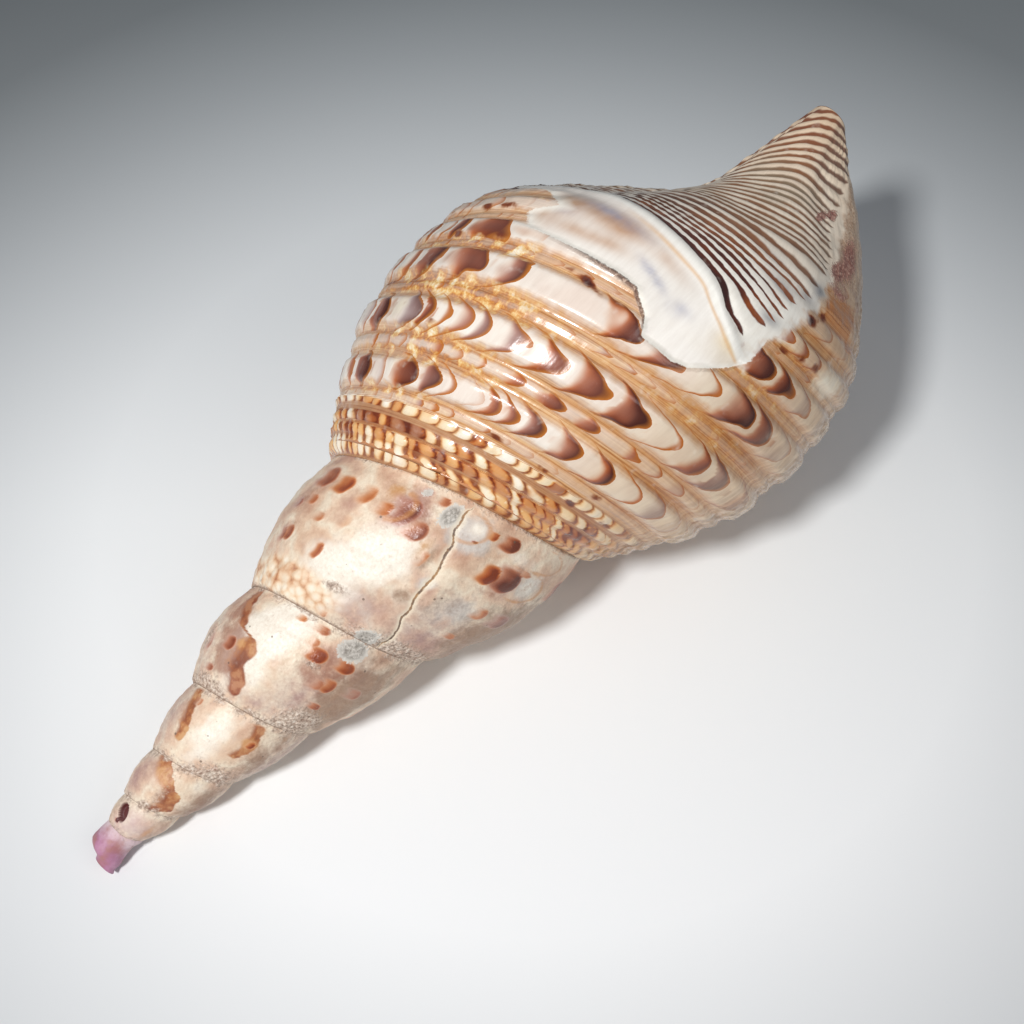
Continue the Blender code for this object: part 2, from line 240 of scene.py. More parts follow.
for name in ("beadsA", "beadsB"):
    bands[name]["seed"] = 15   # one seed, so that the cells of both rows are in line
# low ribs on the hidden side of the base
for name, middle in zip("HIJKLM", (1.31, 1.43, 1.55, 1.67, 1.79, 1.90)):
    bands["rib" + name] = {"middle": middle, "half": 0.038, "height": 0.4, "ground": 0.7,
                           "inks": (0.4, 0.7, 1.0)}
bands = {name: {**plainBand, **band} for name, band in bands.items()}

neckForm = {
    # the first brown stripe's row by turn, and where the stripes end by row
    "turns": (-360, -260, -222, -215, -202, -190, -180, -175, -170, -165, -160),
    "firstStripe": (1.16, 1.16, 1.15, 1.144, 1.11, 1.069, 1.031, 1.0, 0.95, 0.915, 0.88),
    "endRows": (0.9, 0.985, 1.02, 1.07, 1.12, 1.16, 1.225, 1.29, 1.39, 1.51, 1.66, 1.75, 1.85, 2.0),
    "endTurns": (-163, -159.5, -157, -156.5, -154.5, -150, -148, -145, -141, -140, -131, -125, -108, -85),
    # how the stripes run: rows at these turns, and the levels that are whole stripes
    "pathTurns": (-260, -230, -215, -200, -190, -180, -170, -160, -150, -140, -110),
    "middleTurn": 5,
    "paths": (
        (0.960, 0.952, 0.944, 0.903, 0.869, 0.831, 0.750, 0.680, 0.630, 0.590, 0.500),
        (1.160, 1.152, 1.144, 1.103, 1.069, 1.031, 0.950, 0.880, 0.830, 0.790, 0.700),
        (1.185, 1.180, 1.168, 1.128, 1.100, 1.066, 1.028, 0.985, 0.940, 0.900, 0.800),
        (1.210, 1.205, 1.190, 1.150, 1.125, 1.092, 1.057, 1.020, 0.985, 0.950, 0.880),
        (1.235, 1.225, 1.205, 1.170, 1.145, 1.120, 1.085, 1.050, 1.020, 1.000, 0.950),
        (1.255, 1.245, 1.225, 1.190, 1.167, 1.145, 1.115, 1.080, 1.055, 1.030, 0.990),
        (1.275, 1.265, 1.245, 1.212, 1.190, 1.168, 1.144, 1.124, 1.100, 1.080, 1.050),
        (1.310, 1.300, 1.280, 1.248, 1.228, 1.204, 1.181, 1.168, 1.145, 1.130, 1.100),
        (1.340, 1.330, 1.310, 1.280, 1.260, 1.237, 1.212, 1.190, 1.168, 1.150, 1.120),
        (1.380, 1.370, 1.355, 1.328, 1.306, 1.285, 1.268, 1.250, 1.228, 1.210, 1.180),
        (1.410, 1.400, 1.385, 1.362, 1.340, 1.328, 1.325, 1.322, 1.312, 1.300, 1.280),
        (1.500, 1.492, 1.487, 1.485, 1.490, 1.500, 1.507, 1.502, 1.482, 1.470, 1.460),
        (1.550, 1.570, 1.590, 1.612, 1.632, 1.650, 1.667, 1.667, 1.645, 1.620, 1.600),
        (1.690, 1.705, 1.735, 1.765, 1.785, 1.800, 1.815, 1.825, 1.832, 1.835, 1.830),
        (1.820, 1.830, 1.850, 1.870, 1.885, 1.900, 1.910, 1.920, 1.925, 1.930, 1.930),
        (2.100, 2.100, 2.100, 2.100, 2.100, 2.100, 2.100, 2.100, 2.100, 2.100, 2.100),
    ),
    "stripeLevels": (0.925, 1.031, 1.066, 1.092, 1.12, 1.145, 1.168, 1.204, 1.237, 1.285, 1.328, 1.36, 1.39,
                     1.43,
                     1.465, 1.5, 1.54, 1.575, 1.61, 1.645, 1.685, 1.73, 1.765, 1.8, 1.84, 1.88, 1.92, 1.96,
                     2.0, 2.1),
    "stripePhases": (-3.4,) + tuple(range(28)) + (29.5,),
}

bodyForm = {
    "columns": 360,
    "rowsUpper": 100,
    "rowsBase": 98,
    "rowsEnd": 7,
    "endRow": 2.1,
    "varices": ((-7, 9, 3.0), (-118, 13, 1.6), (-268, 14, 1.5)),    # turn, half width, height
    "glazeTurns": (-330, -240, -222, -210, -196, -190, -184, -181, -172, -168, -163, -160, -155, -148, -140),
    "glazeRows": (0.93, 0.90, 0.875, 0.862, 0.852, 0.842, 0.78, 0.712, 0.700, 0.715, 0.765, 0.80, 0.90, 1.06,
                  1.25),
    "glazeThickness": 0.7,
    "beadHeight": 1.0,
    "cellHeight": 0.3,         # how far each crescent's cell swells
    "sutureRoll": 0.55,
    "ridgeHeight": 1.0,        # the ridge above the neck
    "stripeDepth": 0.4,
    "scallopHeight": 0.22,
    "scallopPitch": 2.4,       # degrees
    "lineTurns": (-240, -218, -207, -201, -190, -186, -183, -182, -172, -168, -163, -158),
    "lineShares": (0, 0.0, 0.45, 0.9, 1.0, 1.0, 0.8, 0.2, 0.1, 0.2, 0.3, 0.1),
}


def bandCells(band, seed):
    # front edges of a band's cells over the whole whorl, with each cell's share, ink and grey
    random = np.random.default_rng(seed)
    known = sorted(band["marks"])
    first = known[0][0] if known else 0.0
    last = known[-1][0] if known else first
    cells = list(known)
    for turn, way in ((first, -1), (last, 1)):
        while -395 < turn < 35:    # a little beyond the whorl at both ends
            turn += way * band["pitch"] * random.uniform(0.6, 1.45)
            cells.append((turn, random.uniform(0.2, 0.6), random.choice(band["inks"]),
                          random.uniform(0, 0.7)))
    return np.array(sorted(cells))


def bandMiddle(name, seed, turn):
    drift = -0.028 * smooth((-195 - turn) / 55) * name.startswith(("rib", "cord"))
    return bands[name]["middle"] + drift + 0.004 * waves(turn / 60, 0 * turn, 40 + seed, 4)


def bandFields(turn, row):
    # cell phase, distance across the band, share, ink and grey of the nearest band
    names = ("cell", "share", "ink", "grey", "rib", "bead", "rim")
    fields = {name: np.zeros(row.shape) for name in names}
    fields["across"] = np.full(row.shape, 9.0)
    lean = np.interp(turn, (-215, -175), (50, 120)) * np.maximum(0.14 - row, 0)
    for seed, (name, band) in enumerate(bands.items()):
        middle = bandMiddle(name, seed, turn)
        across = np.abs(row - middle) / band["half"]
        near = across < fields["across"]
        cells = bandCells(band, band.get("seed", seed))
        bend = band["bend"] * np.interp(turn, (-240, -190), (0.45, 1))
        swept = turn - lean + bend * np.minimum(across**2.3, 2.9)
        phase = np.interp(swept, cells[:, 0], np.arange(len(cells)))
        isBead = name.startswith("beads")
        kept = np.clip(np.ceil(phase - 0.2 * (not isBead)).astype(int), 1, len(cells) - 1)
        found = {
            "across": across,
            "cell": phase,
            "share": cells[kept, 1] * (1 - 0.7 * np.minimum(across, 1) ** 2),
            "ink": cells[kept, 2],
            "grey": cells[kept, 3],
            "rim": 1.0 / (cells[kept, 0] - cells[kept - 1, 0]),
            "rib": np.full(row.shape, band["ground"]),
            "bead": np.full(row.shape, float(isBead)),
        }
        for key, value in found.items():
            fields[key] = np.where(near, value, fields[key])
    return fields


def blots(turn, row, spots):
    # soft oval stains: turn, row, half turn, half row, slant in rows for each degree, strength
    total = np.zeros(row.shape)
    for at, middle, half, halfRow, slant, strength in spots:
        along = turn - at
        total += strength * np.exp(-((along / half) ** 2) - ((row - middle - slant * along) / halfRow) ** 2)
    return total


def ridgeRow(turn):
    return np.interp(turn, neckForm["turns"], neckForm["firstStripe"])


def stripeLevel(turn, row):
    # the row that the stripe through each point has at the middle turn
    knots, paths = np.array(neckForm["pathTurns"], float), np.array(neckForm["paths"])
    levels = np.stack([np.interp(row, rows, paths[:, neckForm["middleTurn"]]) for rows in paths.T])
    slopes = np.gradient(levels, knots, axis=0)
    k = np.clip(np.searchsorted(knots, turn, side="right") - 1, 0, len(knots) - 2)
    h = knots[k + 1] - knots[k]
    s = np.clip((turn - knots[k]) / h, 0, 1)
    start, end = (np.take_along_axis(levels, (k + i)[None], axis=0)[0] for i in (0, 1))
    leave, arrive = (np.take_along_axis(slopes, (k + i)[None], axis=0)[0] * h for i in (0, 1))
    level = start * (2 * s**3 - 3 * s**2 + 1) + end * (3 * s**2 - 2 * s**3)
    level += leave * (s**3 - 2 * s**2 + s) + arrive * (s**3 - s**2)
    return level + 0.004 * waves(turn / 40, row * 3, 91, 5) * smooth((row - 1.05) / 0.1)


def stripeFields(turn, row):
    # the neck's stripes: a whole number at the middle of each, its width, and where the neck is
    level = stripeLevel(turn, row)
    phase = np.interp(level, neckForm["stripeLevels"], neckForm["stripePhases"])
    ends = np.interp(row, neckForm["endRows"], neckForm["endTurns"])
    far = smooth((row - 1.28) / 0.15)
    width = 0.60 - 0.12 * far + 0.22 * waves(turn / 26, phase * 0.9, 92, 7)
    width -= 0.30 * smooth((turn - ends + 32) / 28) * (1 - 0.7 * far)
    width += 0.22 * bump(phase, 0, 0.9) * bump(turn, -176, 18)
    width -= 0.85 * smooth((turn - ends + 3) / 6)
    border = ends - 1 + 4.5 * waves(turn / 40, row * 9, 93, 6)
    right = (1 - smooth((turn - border) / 10)) * smooth((row - ridgeRow(turn) + 0.075) / 0.02)
    return {"stripe": phase, "stripeWidth": width, "neck": right}


def towardsCanal(row):
    # how much of a raised growth line is left: most midway, less at the suture, none at the end
    return np.sin(np.pi * np.clip(row / 2.05, 0.06, 1)) ** 0.5


def bodyRelief(turn, row):
    # height above the smooth outline in mm
    height = np.zeros(row.shape)
    toCanal = np.maximum(1 - smooth((row - 1.0) / 0.35), 0.7 * smooth((turn + 100) / 25))
    fields = bandFields(turn, row)
    part = fields["cell"] % 1.0
    for seed, (name, band) in enumerate(bands.items()):
        across = np.abs(row - bandMiddle(name, seed, turn)) / band["half"]
        if name.startswith("rib"):
            height += band["height"] * (1 - smooth((across - 0.6) / 0.6)) * toCanal
        elif name.startswith("cord"):
            height += band["height"] * (1 - smooth((across - 0.3) / 1.0)) * toCanal
    knob = np.clip(1 - (2 * part - 1) ** 2, 0, 1) ** 0.6
    knobbed = bodyForm["cellHeight"] * knob * (1 - smooth((fields["across"] - 0.5) / 0.6))
    height += knobbed * (fields["rib"] > 0.5) * (1 - fields["bead"])
    dome = 0.2 + 0.8 * np.clip(1.1 - fields["across"] ** 2, 0, 1)
    height += bodyForm["beadHeight"] * fields["bead"] * knob * dome
    height += bodyForm["sutureRoll"] * np.sin(np.pi * np.clip(row / 0.2, 0, 1)) ** 0.6
    glazeEdge = np.interp(turn, bodyForm["glazeTurns"], bodyForm["glazeRows"])
    glazeEdge = glazeEdge + 0.006 * waves(turn / 5, 0 * row, 5) + 0.003 * waves(turn / 1.6, 0 * row, 6)
    glazed = smooth((row - glazeEdge) / 0.012) * (1 - smooth((turn + 158) / 14)) * smooth((turn + 231) / 9)
    height = height * (1 - glazed) + bodyForm["glazeThickness"] * glazed
    ridge = ridgeRow(turn) - 0.03
    left = smooth((turn + 300) / 60) * (1 - smooth((turn + 166) / 10))
    height += bodyForm["ridgeHeight"] * bump(row, ridge, 0.04) * left
    lines = stripeFields(turn, row)
    onNeck = smooth((row - ridge - 0.01) / 0.03) * (1 - smooth((row - 1.92) / 0.08)) * lines["neck"]
    groove = 0.5 + 0.5 * np.cos(2 * np.pi * lines["stripe"])
    height -= bodyForm["stripeDepth"] * onNeck * np.clip(lines["stripeWidth"] * 3, 0, 1) * groove
    for at, half, rise in bodyForm["varices"]:
        swell = np.exp(-(((turn - at) / half) ** 2))
        height += rise * swell * towardsCanal(row)
        scallop = turn + 5 * np.minimum(fields["across"] ** 2, 1.5)
        ripple = bodyForm["scallopHeight"] * swell * np.sin(2 * np.pi * scallop / bodyForm["scallopPitch"])
        height += ripple * (1 - glazed) * (1 - smooth((row - 1.3) / 0.3))
    growthLines = waves(turn / 2.2, row * 2.0, 21, 9) * 0.10 + waves(turn / 5, row * 3, 22, 7) * 0.12
    height += growthLines * (1 - 0.9 * glazed)
    height += 0.25 * waves(turn / 40, row * 4, 23, 8)
    sewn = smooth(row / 0.025) * (1 - smooth((row - 1.93) / 0.07))
    return height * sewn


bodyStains = {
    # turn, row, half turn, half row, slant in rows for each degree, strength
    "violet": ((-189, 0.905, 5.0, 0.016, -0.006, 1.0), (-179, 0.855, 3.0, 0.025, 0, 0.7),
               (-236, 0.96, 8, 0.02, 0, 0.5),
               (-208, 1.035, 10, 0.02, -0.002, 0.9), (-221, 0.99, 5, 0.02, 0, 0.5),
               (-160, 1.01, 3.5, 0.02, 0, 0.9),
               (-161, 1.125, 5, 0.022, -0.002, 1.0), (-148, 1.215, 3, 0.03, 0, 1.2),
               (-168, 1.21, 7, 0.02, -0.002, 0.6),
               (-152, 1.16, 4, 0.02, 0, 0.8)),
    "cloud": ((-222, 0.98, 7, 0.06, 0, 0.9), (-210, 0.93, 12, 0.025, 0, 0.7), (-203, 1.0, 9, 0.04, 0, 0.7),
              (-232, 0.93, 12, 0.05, 0, 0.8), (-216, 1.03, 12, 0.035, 0, 1.0),
              (-189, 0.975, 7, 0.025, -0.004, 0.55)),
    "cream": ((-130, 0.985, 7, 0.065, 0, 0.95), (-137, 0.73, 3, 0.03, 0, 0.4), (-232, 0.30, 4, 0.04, 0, 0.6),
              (-243, 0.47, 5, 0.06, 0, 0.8), (-121, 0.40, 10, 0.05, 0, 0.4)),
    "gold": ((-228, 0.38, 24, 0.055, 0, 1.3), (-224, 0.59, 24, 0.055, 0, 1.2),
             (-250, 0.60, 14, 0.055, 0, 1.0),
             (-248, 0.79, 14, 0.05, 0, 1.0), (-225, 0.78, 12, 0.045, 0, 1.1),
             (-164, 0.86, 4.5, 0.035, 0, 0.8),
             (-224, 0.45, 7, 0.03, 0, 0.5), (-236, 0.215, 22, 0.03, 0, 0.8), (-227, 1.0, 5, 0.03, 0, 0.7),
             (-148, 0.60, 22, 0.03, 0, 0.5), (-150, 0.80, 14, 0.03, 0, 0.6), (-142, 0.97, 10, 0.03, 0, 0.6)),
    "stain": ((-262, 0.60, 9, 0.02, 0, 0.7), (-244, 0.805, 5, 0.02, 0, 0.6), (-227, 0.455, 3, 0.02, 0, 0.5),
              (-207, 0.79, 5, 0.010, -0.002, 0.5), (-199, 0.78, 4.2, 0.017, -0.0045, 0.95),
              (-208, 0.835, 9, 0.008, 0, 0.6),
              (-157, 0.165, 3.2, 0.016, -0.003, 1.2), (-190, 0.215, 4, 0.010, 0, 0.9),
              (-153, 0.225, 3, 0.012, 0, 0.8),
              (-215, 0.20, 5, 0.012, 0, 0.5), (-172, 0.205, 3, 0.012, 0, 0.7), (-140, 0.17, 5, 0.015, 0, 0.6),
              (-148, 1.105, 2.5, 0.022, 0.002, 1.1), (-143, 1.15, 2.2, 0.025, 0, 1.0),
              (-152, 1.12, 2, 0.015, 0, 0.8),
              (-151, 0.965, 3, 0.012, 0, 0.8), (-145, 0.985, 2.5, 0.02, 0, 0.9),
              (-139, 0.99, 1.8, 0.02, 0, 0.8),
              (-224, 0.975, 2.0, 0.012, 0, 0.9), (-237, 0.96, 4, 0.02, 0, 0.9),
              (-246, 0.955, 3, 0.02, 0, 0.9)),
    "orange": ((-134, 1.205, 10, 0.06, 0.002, 1.6), (-124, 1.13, 7, 0.03, 0, 0.7)),
    "crust": ((-147, 1.555, 3.6, 0.022, 0.008, 1.3), (-138, 1.60, 4, 0.022, 0.004, 1.3),
              (-138, 1.36, 3.6, 0.035, 0.004, 1.1),
              (-128, 1.45, 8, 0.09, 0.008, 0.9), (-137, 1.28, 7, 0.03, 0, 0.6)),
}


def bodyFields(turn, row):
    fields = bandFields(turn, row)
    fields.update(stripeFields(turn, row))
    edge = np.interp(turn, bodyForm["glazeTurns"], bodyForm["glazeRows"])
    fields["glaze"] = np.minimum((row - edge) * 120, (-157 - turn) * 1.05)
    leftEnd = np.interp(row, (0.87, 0.95, 1.0, 1.06, 1.12), (-223, -229, -222, -232, -262))
    fields["glaze"] = np.minimum(fields["glaze"], (turn - leftEnd) * 0.5)
    fields["glazeLine"] = np.interp(turn, bodyForm["lineTurns"], bodyForm["lineShares"])
    for name, spots in bodyStains.items():
        fields[name] = blots(turn, row, spots)
    fields["fade"] = smooth((turn + 144) / 26) * (1 - 0.6 * smooth((turn + 95) / 30))
    fields.update(turn=turn, row=row)
    return fields


def rowSpacing():
    upper = np.linspace(0, 1, bodyForm["rowsUpper"] + 1)
    base = np.linspace(1, 2, bodyForm["rowsBase"] + 1)[1:]
    end = np.linspace(2, bodyForm["endRow"], bodyForm["rowsEnd"] + 1)[1:]
    return np.concatenate((upper, base, end))


def bodySurface():
    turns = np.linspace(-360, 0, bodyForm["columns"] + 1)
    rows = rowSpacing()
    turn, row = np.meshgrid(turns, rows, indexing="ij")
    z, r = upperOutline(turn, np.minimum(row, 1))
    onBase = (rows > 1) & (rows <= 2)
    onEnd = rows > 2
    for i, t in enumerate(turns):
        z[i, onBase], r[i, onBase] = baseOutline(t, rows[onBase])
    rounding = (rows[onEnd] - 2) / (bodyForm["endRow"] - 2) * np.pi / 2
    lastZ, lastR = z[:, onBase][:, -1:], r[:, onBase][:, -1:]
    z[:, onEnd] = lastZ + (shellForm["canalTip"] - lastZ) * np.sin(rounding)
    r[:, onEnd] = lastR * np.cos(rounding)
    return turn, row, z, r


def addGrid(bm, columns, rows, strip, every=1):
    # a grid whose vertices hold their column, row and strip until they are moved
    made = bmesh.ops.create_grid(bm, x_segments=columns, y_segments=rows, size=0.5)
    for v in made["verts"]:
        v.co = (round((v.co.x + 0.5) * columns), round((v.co.y + 0.5) * rows) * every, strip)
    return made["verts"]


def meshFromGrids(name, bm, points, fields, materials):
    # each strip of the grids moves to its points, with its fields as attributes of the corners
    mesh = bpy.data.meshes.new(name)
    bm.to_mesh(mesh)
    bm.free()
    count = len(mesh.vertices)
    code = np.zeros(count * 3, np.float32)
    mesh.vertices.foreach_get("co", code)
    column, row, strip = np.rint(code.reshape(count, 3)).astype(int).T
    co = np.zeros((count, 3), np.float32)
    values = {key: np.zeros(count, np.float32) for key in {k for f in fields for k in f}}
    for k, grid in enumerate(points):
        here = strip == k
        co[here] = grid[column[here], row[here]]
        for key, field in fields[k].items():
            values[key][here] = field[column[here], row[here]]
    mesh.vertices.foreach_set("co", co.ravel())
    corners = np.zeros(len(mesh.loops), np.int32)
    mesh.loops.foreach_get("vertex_index", corners)
    for key, value in values.items():
        layer = mesh.attributes.new(key, "FLOAT", "CORNER")
        layer.data.foreach_set("value", value[corners])
    uv = mesh.uv_layers.new(name="growth")
    growthMap = np.column_stack((values["turn"] / 360, values["row"]))[corners]
    uv.uv.foreach_set("vector", growthMap.astype(np.float32).ravel())
    for material in materials:
        mesh.materials.append(material)
    starts = np.zeros(len(mesh.polygons), np.int32)
    mesh.polygons.foreach_get("loop_start", starts)
    slots = np.minimum(strip[corners[starts]], len(materials) - 1)
    mesh.polygons.foreach_set("material_index", slots.astype(np.int32))
    bm = bmesh.new()
    bm.from_mesh(mesh)
    bmesh.ops.remove_doubles(bm, verts=bm.verts, dist=2e-6)
    return mesh, bm


def finishPiece(name, mesh, bm):
    bmesh.ops.recalc_face_normals(bm, faces=bm.faces)
    oddEdges = sum(1 for e in bm.edges if not e.is_manifold)
    bm.to_mesh(mesh)
    bm.free()
    mesh.shade_smooth()
    obj = bpy.data.objects.new(name, mesh)
    bpy.context.scene.collection.objects.link(obj)
    faces = sum(len(p.vertices) - 2 for p in mesh.polygons)
    print(name, "has", faces, "triangles and", oddEdges, "edges without exactly two faces")
    return obj


mouthForm = {
    "wall": 3.4,               # thickness of the wall in mm
    "callus": 0.8,             # how far the lining swells over the earlier whorl
    "gap": 0.4,                # least room between the two
    "lipTurns": (0.7, 0.9, 0.3, -0.8),       # the rounded lip: turn and share of the wall
    "lipShares": (0.2, 0.55, 0.85, 1.0),
    "deepTurns": list(range(-2, -20, -1)) + list(range(-22, -60, -3)) + list(range(-64, -300, -12)),
    "firstPair": 0.14,         # row of the first pair of teeth, and how far apart pairs and teeth are
    "pairPitch": 0.142,
    "pairs": 13,
    "toothOffset": 0.027,
    "toothHalf": 0.021,
    "toothHeight": 1.2,
    "foldHeight": 0.5,
}


def teeth(turn, row):
    # raised white teeth in pairs inside the lip, and the dark bars that they stand on
    first, pitch = mouthForm["firstPair"], mouthForm["pairPitch"]
    nearest = np.clip(np.rint((row - first) / pitch), 0, mouthForm["pairs"] - 1)
    away = np.abs(row - first - nearest * pitch)
    tooth = np.clip(1 - np.abs(away - mouthForm["toothOffset"]) / mouthForm["toothHalf"], 0, 1)
    length = smooth((-turn + 0.5) / 4) * (1 - smooth((-turn - 9) / 8))
    bar = 1 - smooth((away - 0.045) / 0.02)
    return tooth * length, bar * (1 - smooth((-turn - 10) / 9))


def mouthSurface(rows):
    # rings of z and r from the lip into the hollow, each along the inside of the outer wall and
    # back along the earlier whorl
    wallRows = rows[rows >= 1][::-1]
    base = np.array(baseOutline(-360.0, np.linspace(1, 2, 81)))
    rings = []
    turns = list(mouthForm["lipTurns"]) + mouthForm["deepTurns"]
    shares = list(mouthForm["lipShares"]) + [1.0] * len(mouthForm["deepTurns"])
    for turn, share in zip(turns, shares):
        inside = min(turn, 0.0)
        size = growth(inside)
        lowZ = float(sutureZ(inside)) + 2.5
        topZ = min(352.0, 350 + 0.1 * inside + 2 * (inside > -24))
        z, r = np.empty(len(rows)), np.empty(len(rows))
        upper = rows <= 1
        z[upper], r[upper] = upperOutline(inside, rows[upper])
        onBase = (rows > 1) & (rows <= 2)
        z[onBase], r[onBase] = baseOutline(inside, rows[onBase])
        z[rows > 2], r[rows > 2] = z[onBase][-1], r[onBase][-1]
        slopeZ, slopeR = np.gradient(z), np.gradient(r)
        length = np.maximum(np.hypot(slopeZ, slopeR), 1e-6)
        wall = mouthForm["wall"] * share

        def innerR(at):
            return np.interp(at, base[0] * size, base[1] * size)

        insetZ = np.clip(z + wall * slopeR / length, lowZ, topZ)
        insetR = np.maximum(r - wall * slopeZ / length, innerR(insetZ) + mouthForm["gap"])
        insetZ[0], insetR[0] = lowZ, innerR(lowZ) + mouthForm["gap"]
        insetZ[-1], insetR[-1] = topZ, innerR(topZ) + mouthForm["gap"]
        wallZ = lowZ + (topZ - lowZ) * (wallRows - 1) / (bodyForm["endRow"] - 1)
        callus = mouthForm["callus"] * bump(wallZ, (lowZ + topZ) / 2, (topZ - lowZ) / 2)
        wallR = innerR(wallZ) + (mouthForm["gap"] + callus)
        if share < 1:
            insetZ = z + (insetZ - z) * share ** 0.5
            insetR = r + (insetR - r) * share ** 0.5
            edgeZ, edgeR = baseEdge(wallRows)
            wallZ = edgeZ + (wallZ - edgeZ) * share
            wallR = edgeR + (wallR - edgeR) * share
        rings.append((np.concatenate((insetZ, wallZ[1:])), np.concatenate((insetR, wallR[1:]))))
    return rings, np.array([0.0] + turns)


def baseEdge(rows):
    # z and r of the outside of the base at the last whorl's start, one turn back from the lip
    z, r = np.empty(len(rows)), np.empty(len(rows))
    onBase = rows <= 2
    z[onBase], r[onBase] = baseOutline(-360.0, rows[onBase])
    rounding = (rows[~onBase] - 2) / (bodyForm["endRow"] - 2) * np.pi / 2
    endZ, endR = baseOutline(-360.0, np.array([2.0]))
    z[~onBase] = endZ + (shellForm["canalTip"] - endZ) * np.sin(rounding)
    r[~onBase] = endR * np.cos(rounding)
    return z, r


def buildBody(materials):
    turn, row, z, r = bodySurface()
    smoothPoints = place(turn, z, r)
    normals = gridNormals(smoothPoints)
    height = bodyRelief(turn, row)
    outer = smoothPoints + normals * height[..., None] * mm
    outer[..., 2] = np.maximum(outer[..., 2], 0)
    fields = bodyFields(turn, row)
    rows = row[0]
    rings, turns = mouthSurface(rows)
    lipCount, across = len(rows), len(rings[0][0])
    wallStart = np.searchsorted(rows, 1.0)
    lining = np.empty((across, len(turns), 3))
    lining[:lipCount, 0] = outer[-1]
    lining[lipCount:, 0] = outer[0, wallStart:][::-1][1:]
    for k, (ringZ, ringR) in enumerate(rings, 1):
        lining[:, k] = place(np.full(across, turns[k]), ringZ, ringR)
    around = np.concatenate((rows, rows[wallStart:][::-1][1:]))
    liningTurn = np.broadcast_to(turns, (across, len(turns))).copy()
    liningRow = np.broadcast_to(around[:, None], (across, len(turns))).copy()
    onWall = np.broadcast_to((np.arange(across) >= lipCount)[:, None], (across, len(turns))).astype(float)
    tooth, bar = teeth(liningTurn, liningRow)
    tooth, bar = tooth * (1 - onWall), bar * (1 - onWall)
    edgeStripes = stripeFields(np.full(liningRow.shape, -360.0), np.clip(liningRow, 1.0, 2.1))
    folds = 0.5 - 0.5 * np.cos(2 * np.pi * edgeStripes["stripe"])
    foldShare = onWall * (1 - smooth((-liningTurn - 18) / 22)) * smooth((liningRow - 1.05) / 0.1)
    rise = mouthForm["toothHeight"] * smooth(tooth * 1.4) + mouthForm["foldHeight"] * folds * foldShare
    rise *= smooth(-liningTurn / 2.5)
    inward = gridNormals(lining) * np.where(onWall > 0.5, 1.0, -1.0)[..., None]
    lining += inward * rise[..., None] * mm * (liningRow < 2.0)[..., None]
    mouthFields = {"turn": liningTurn, "row": liningRow, "onWall": onWall, "tooth": tooth, "bar": bar,
                   "stripe": edgeStripes["stripe"]}
    bm = bmesh.new()
    addGrid(bm, len(turn) - 1, len(rows) - 1, 0)
    addGrid(bm, across - 1, len(turns) - 1, 1)
    mesh, bm = meshFromGrids("last_whorl", bm, (outer, lining), (fields, mouthFields), materials)
    # the deep end of the hollow is drawn together, then the hidden side under the spire
    deep = place(turns[-1], float(np.mean(rings[-1][0])), float(np.mean(rings[-1][1])))
    rims = rimLoops(bm)
    rims.sort(key=lambda loop: min((Vector(deep) - e.verts[0].co).length for e in loop))
    joinRim(bm, rims[0], deep)
    joinRim(bm, rims[1], hiddenMiddle())
    return finishPiece("last_whorl", mesh, bm)


def hiddenMiddle():
    # the point on the axis inside the shell where the hidden rims are drawn together
    return place(0, (float(sutureZ(-360.0)) + float(sutureZ(0.0))) / 2, 0)


def rimLoops(bm):
    # the open edges in connected groups
    left = {e for e in bm.edges if e.is_boundary}
    loops = []
    while left:
        todo, loop = [left.pop()], []
        while todo:
            edge = todo.pop()
            loop.append(edge)
            for v in edge.verts:
                for other in v.link_edges:
                    if other in left:
                        left.discard(other)
                        todo.append(other)
        loops.append(loop)
    print("open rims:", [len(loop) for loop in loops])
    return loops


def joinRim(bm, rim, centre):
    # close an open rim with a fan to one point
    made = bmesh.ops.extrude_edge_only(bm, edges=rim)
    tips = [v for v in made["geom"] if isinstance(v, bmesh.types.BMVert)]
    bmesh.ops.pointmerge(bm, verts=tips, merge_co=Vector(centre))


spireForm = {
    "rows": 72,
    "coarser": ((-1080, 2), (-1800, 4)),      # from this turn back, every 2nd or 4th row is kept
    "apexRings": 14,
    "varices": ((-415, 13, 1.2), (-524, 7, 1.3), (-655, 13, 1.1), (-800, 14, 0.7)),
    "sutureRoll": 0.9,
    "crackDepth": 0.35,
    "hole": (-2018, 0.56, 13, 0.26, 1.8),     # turn, row, half turn, half row, depth
}

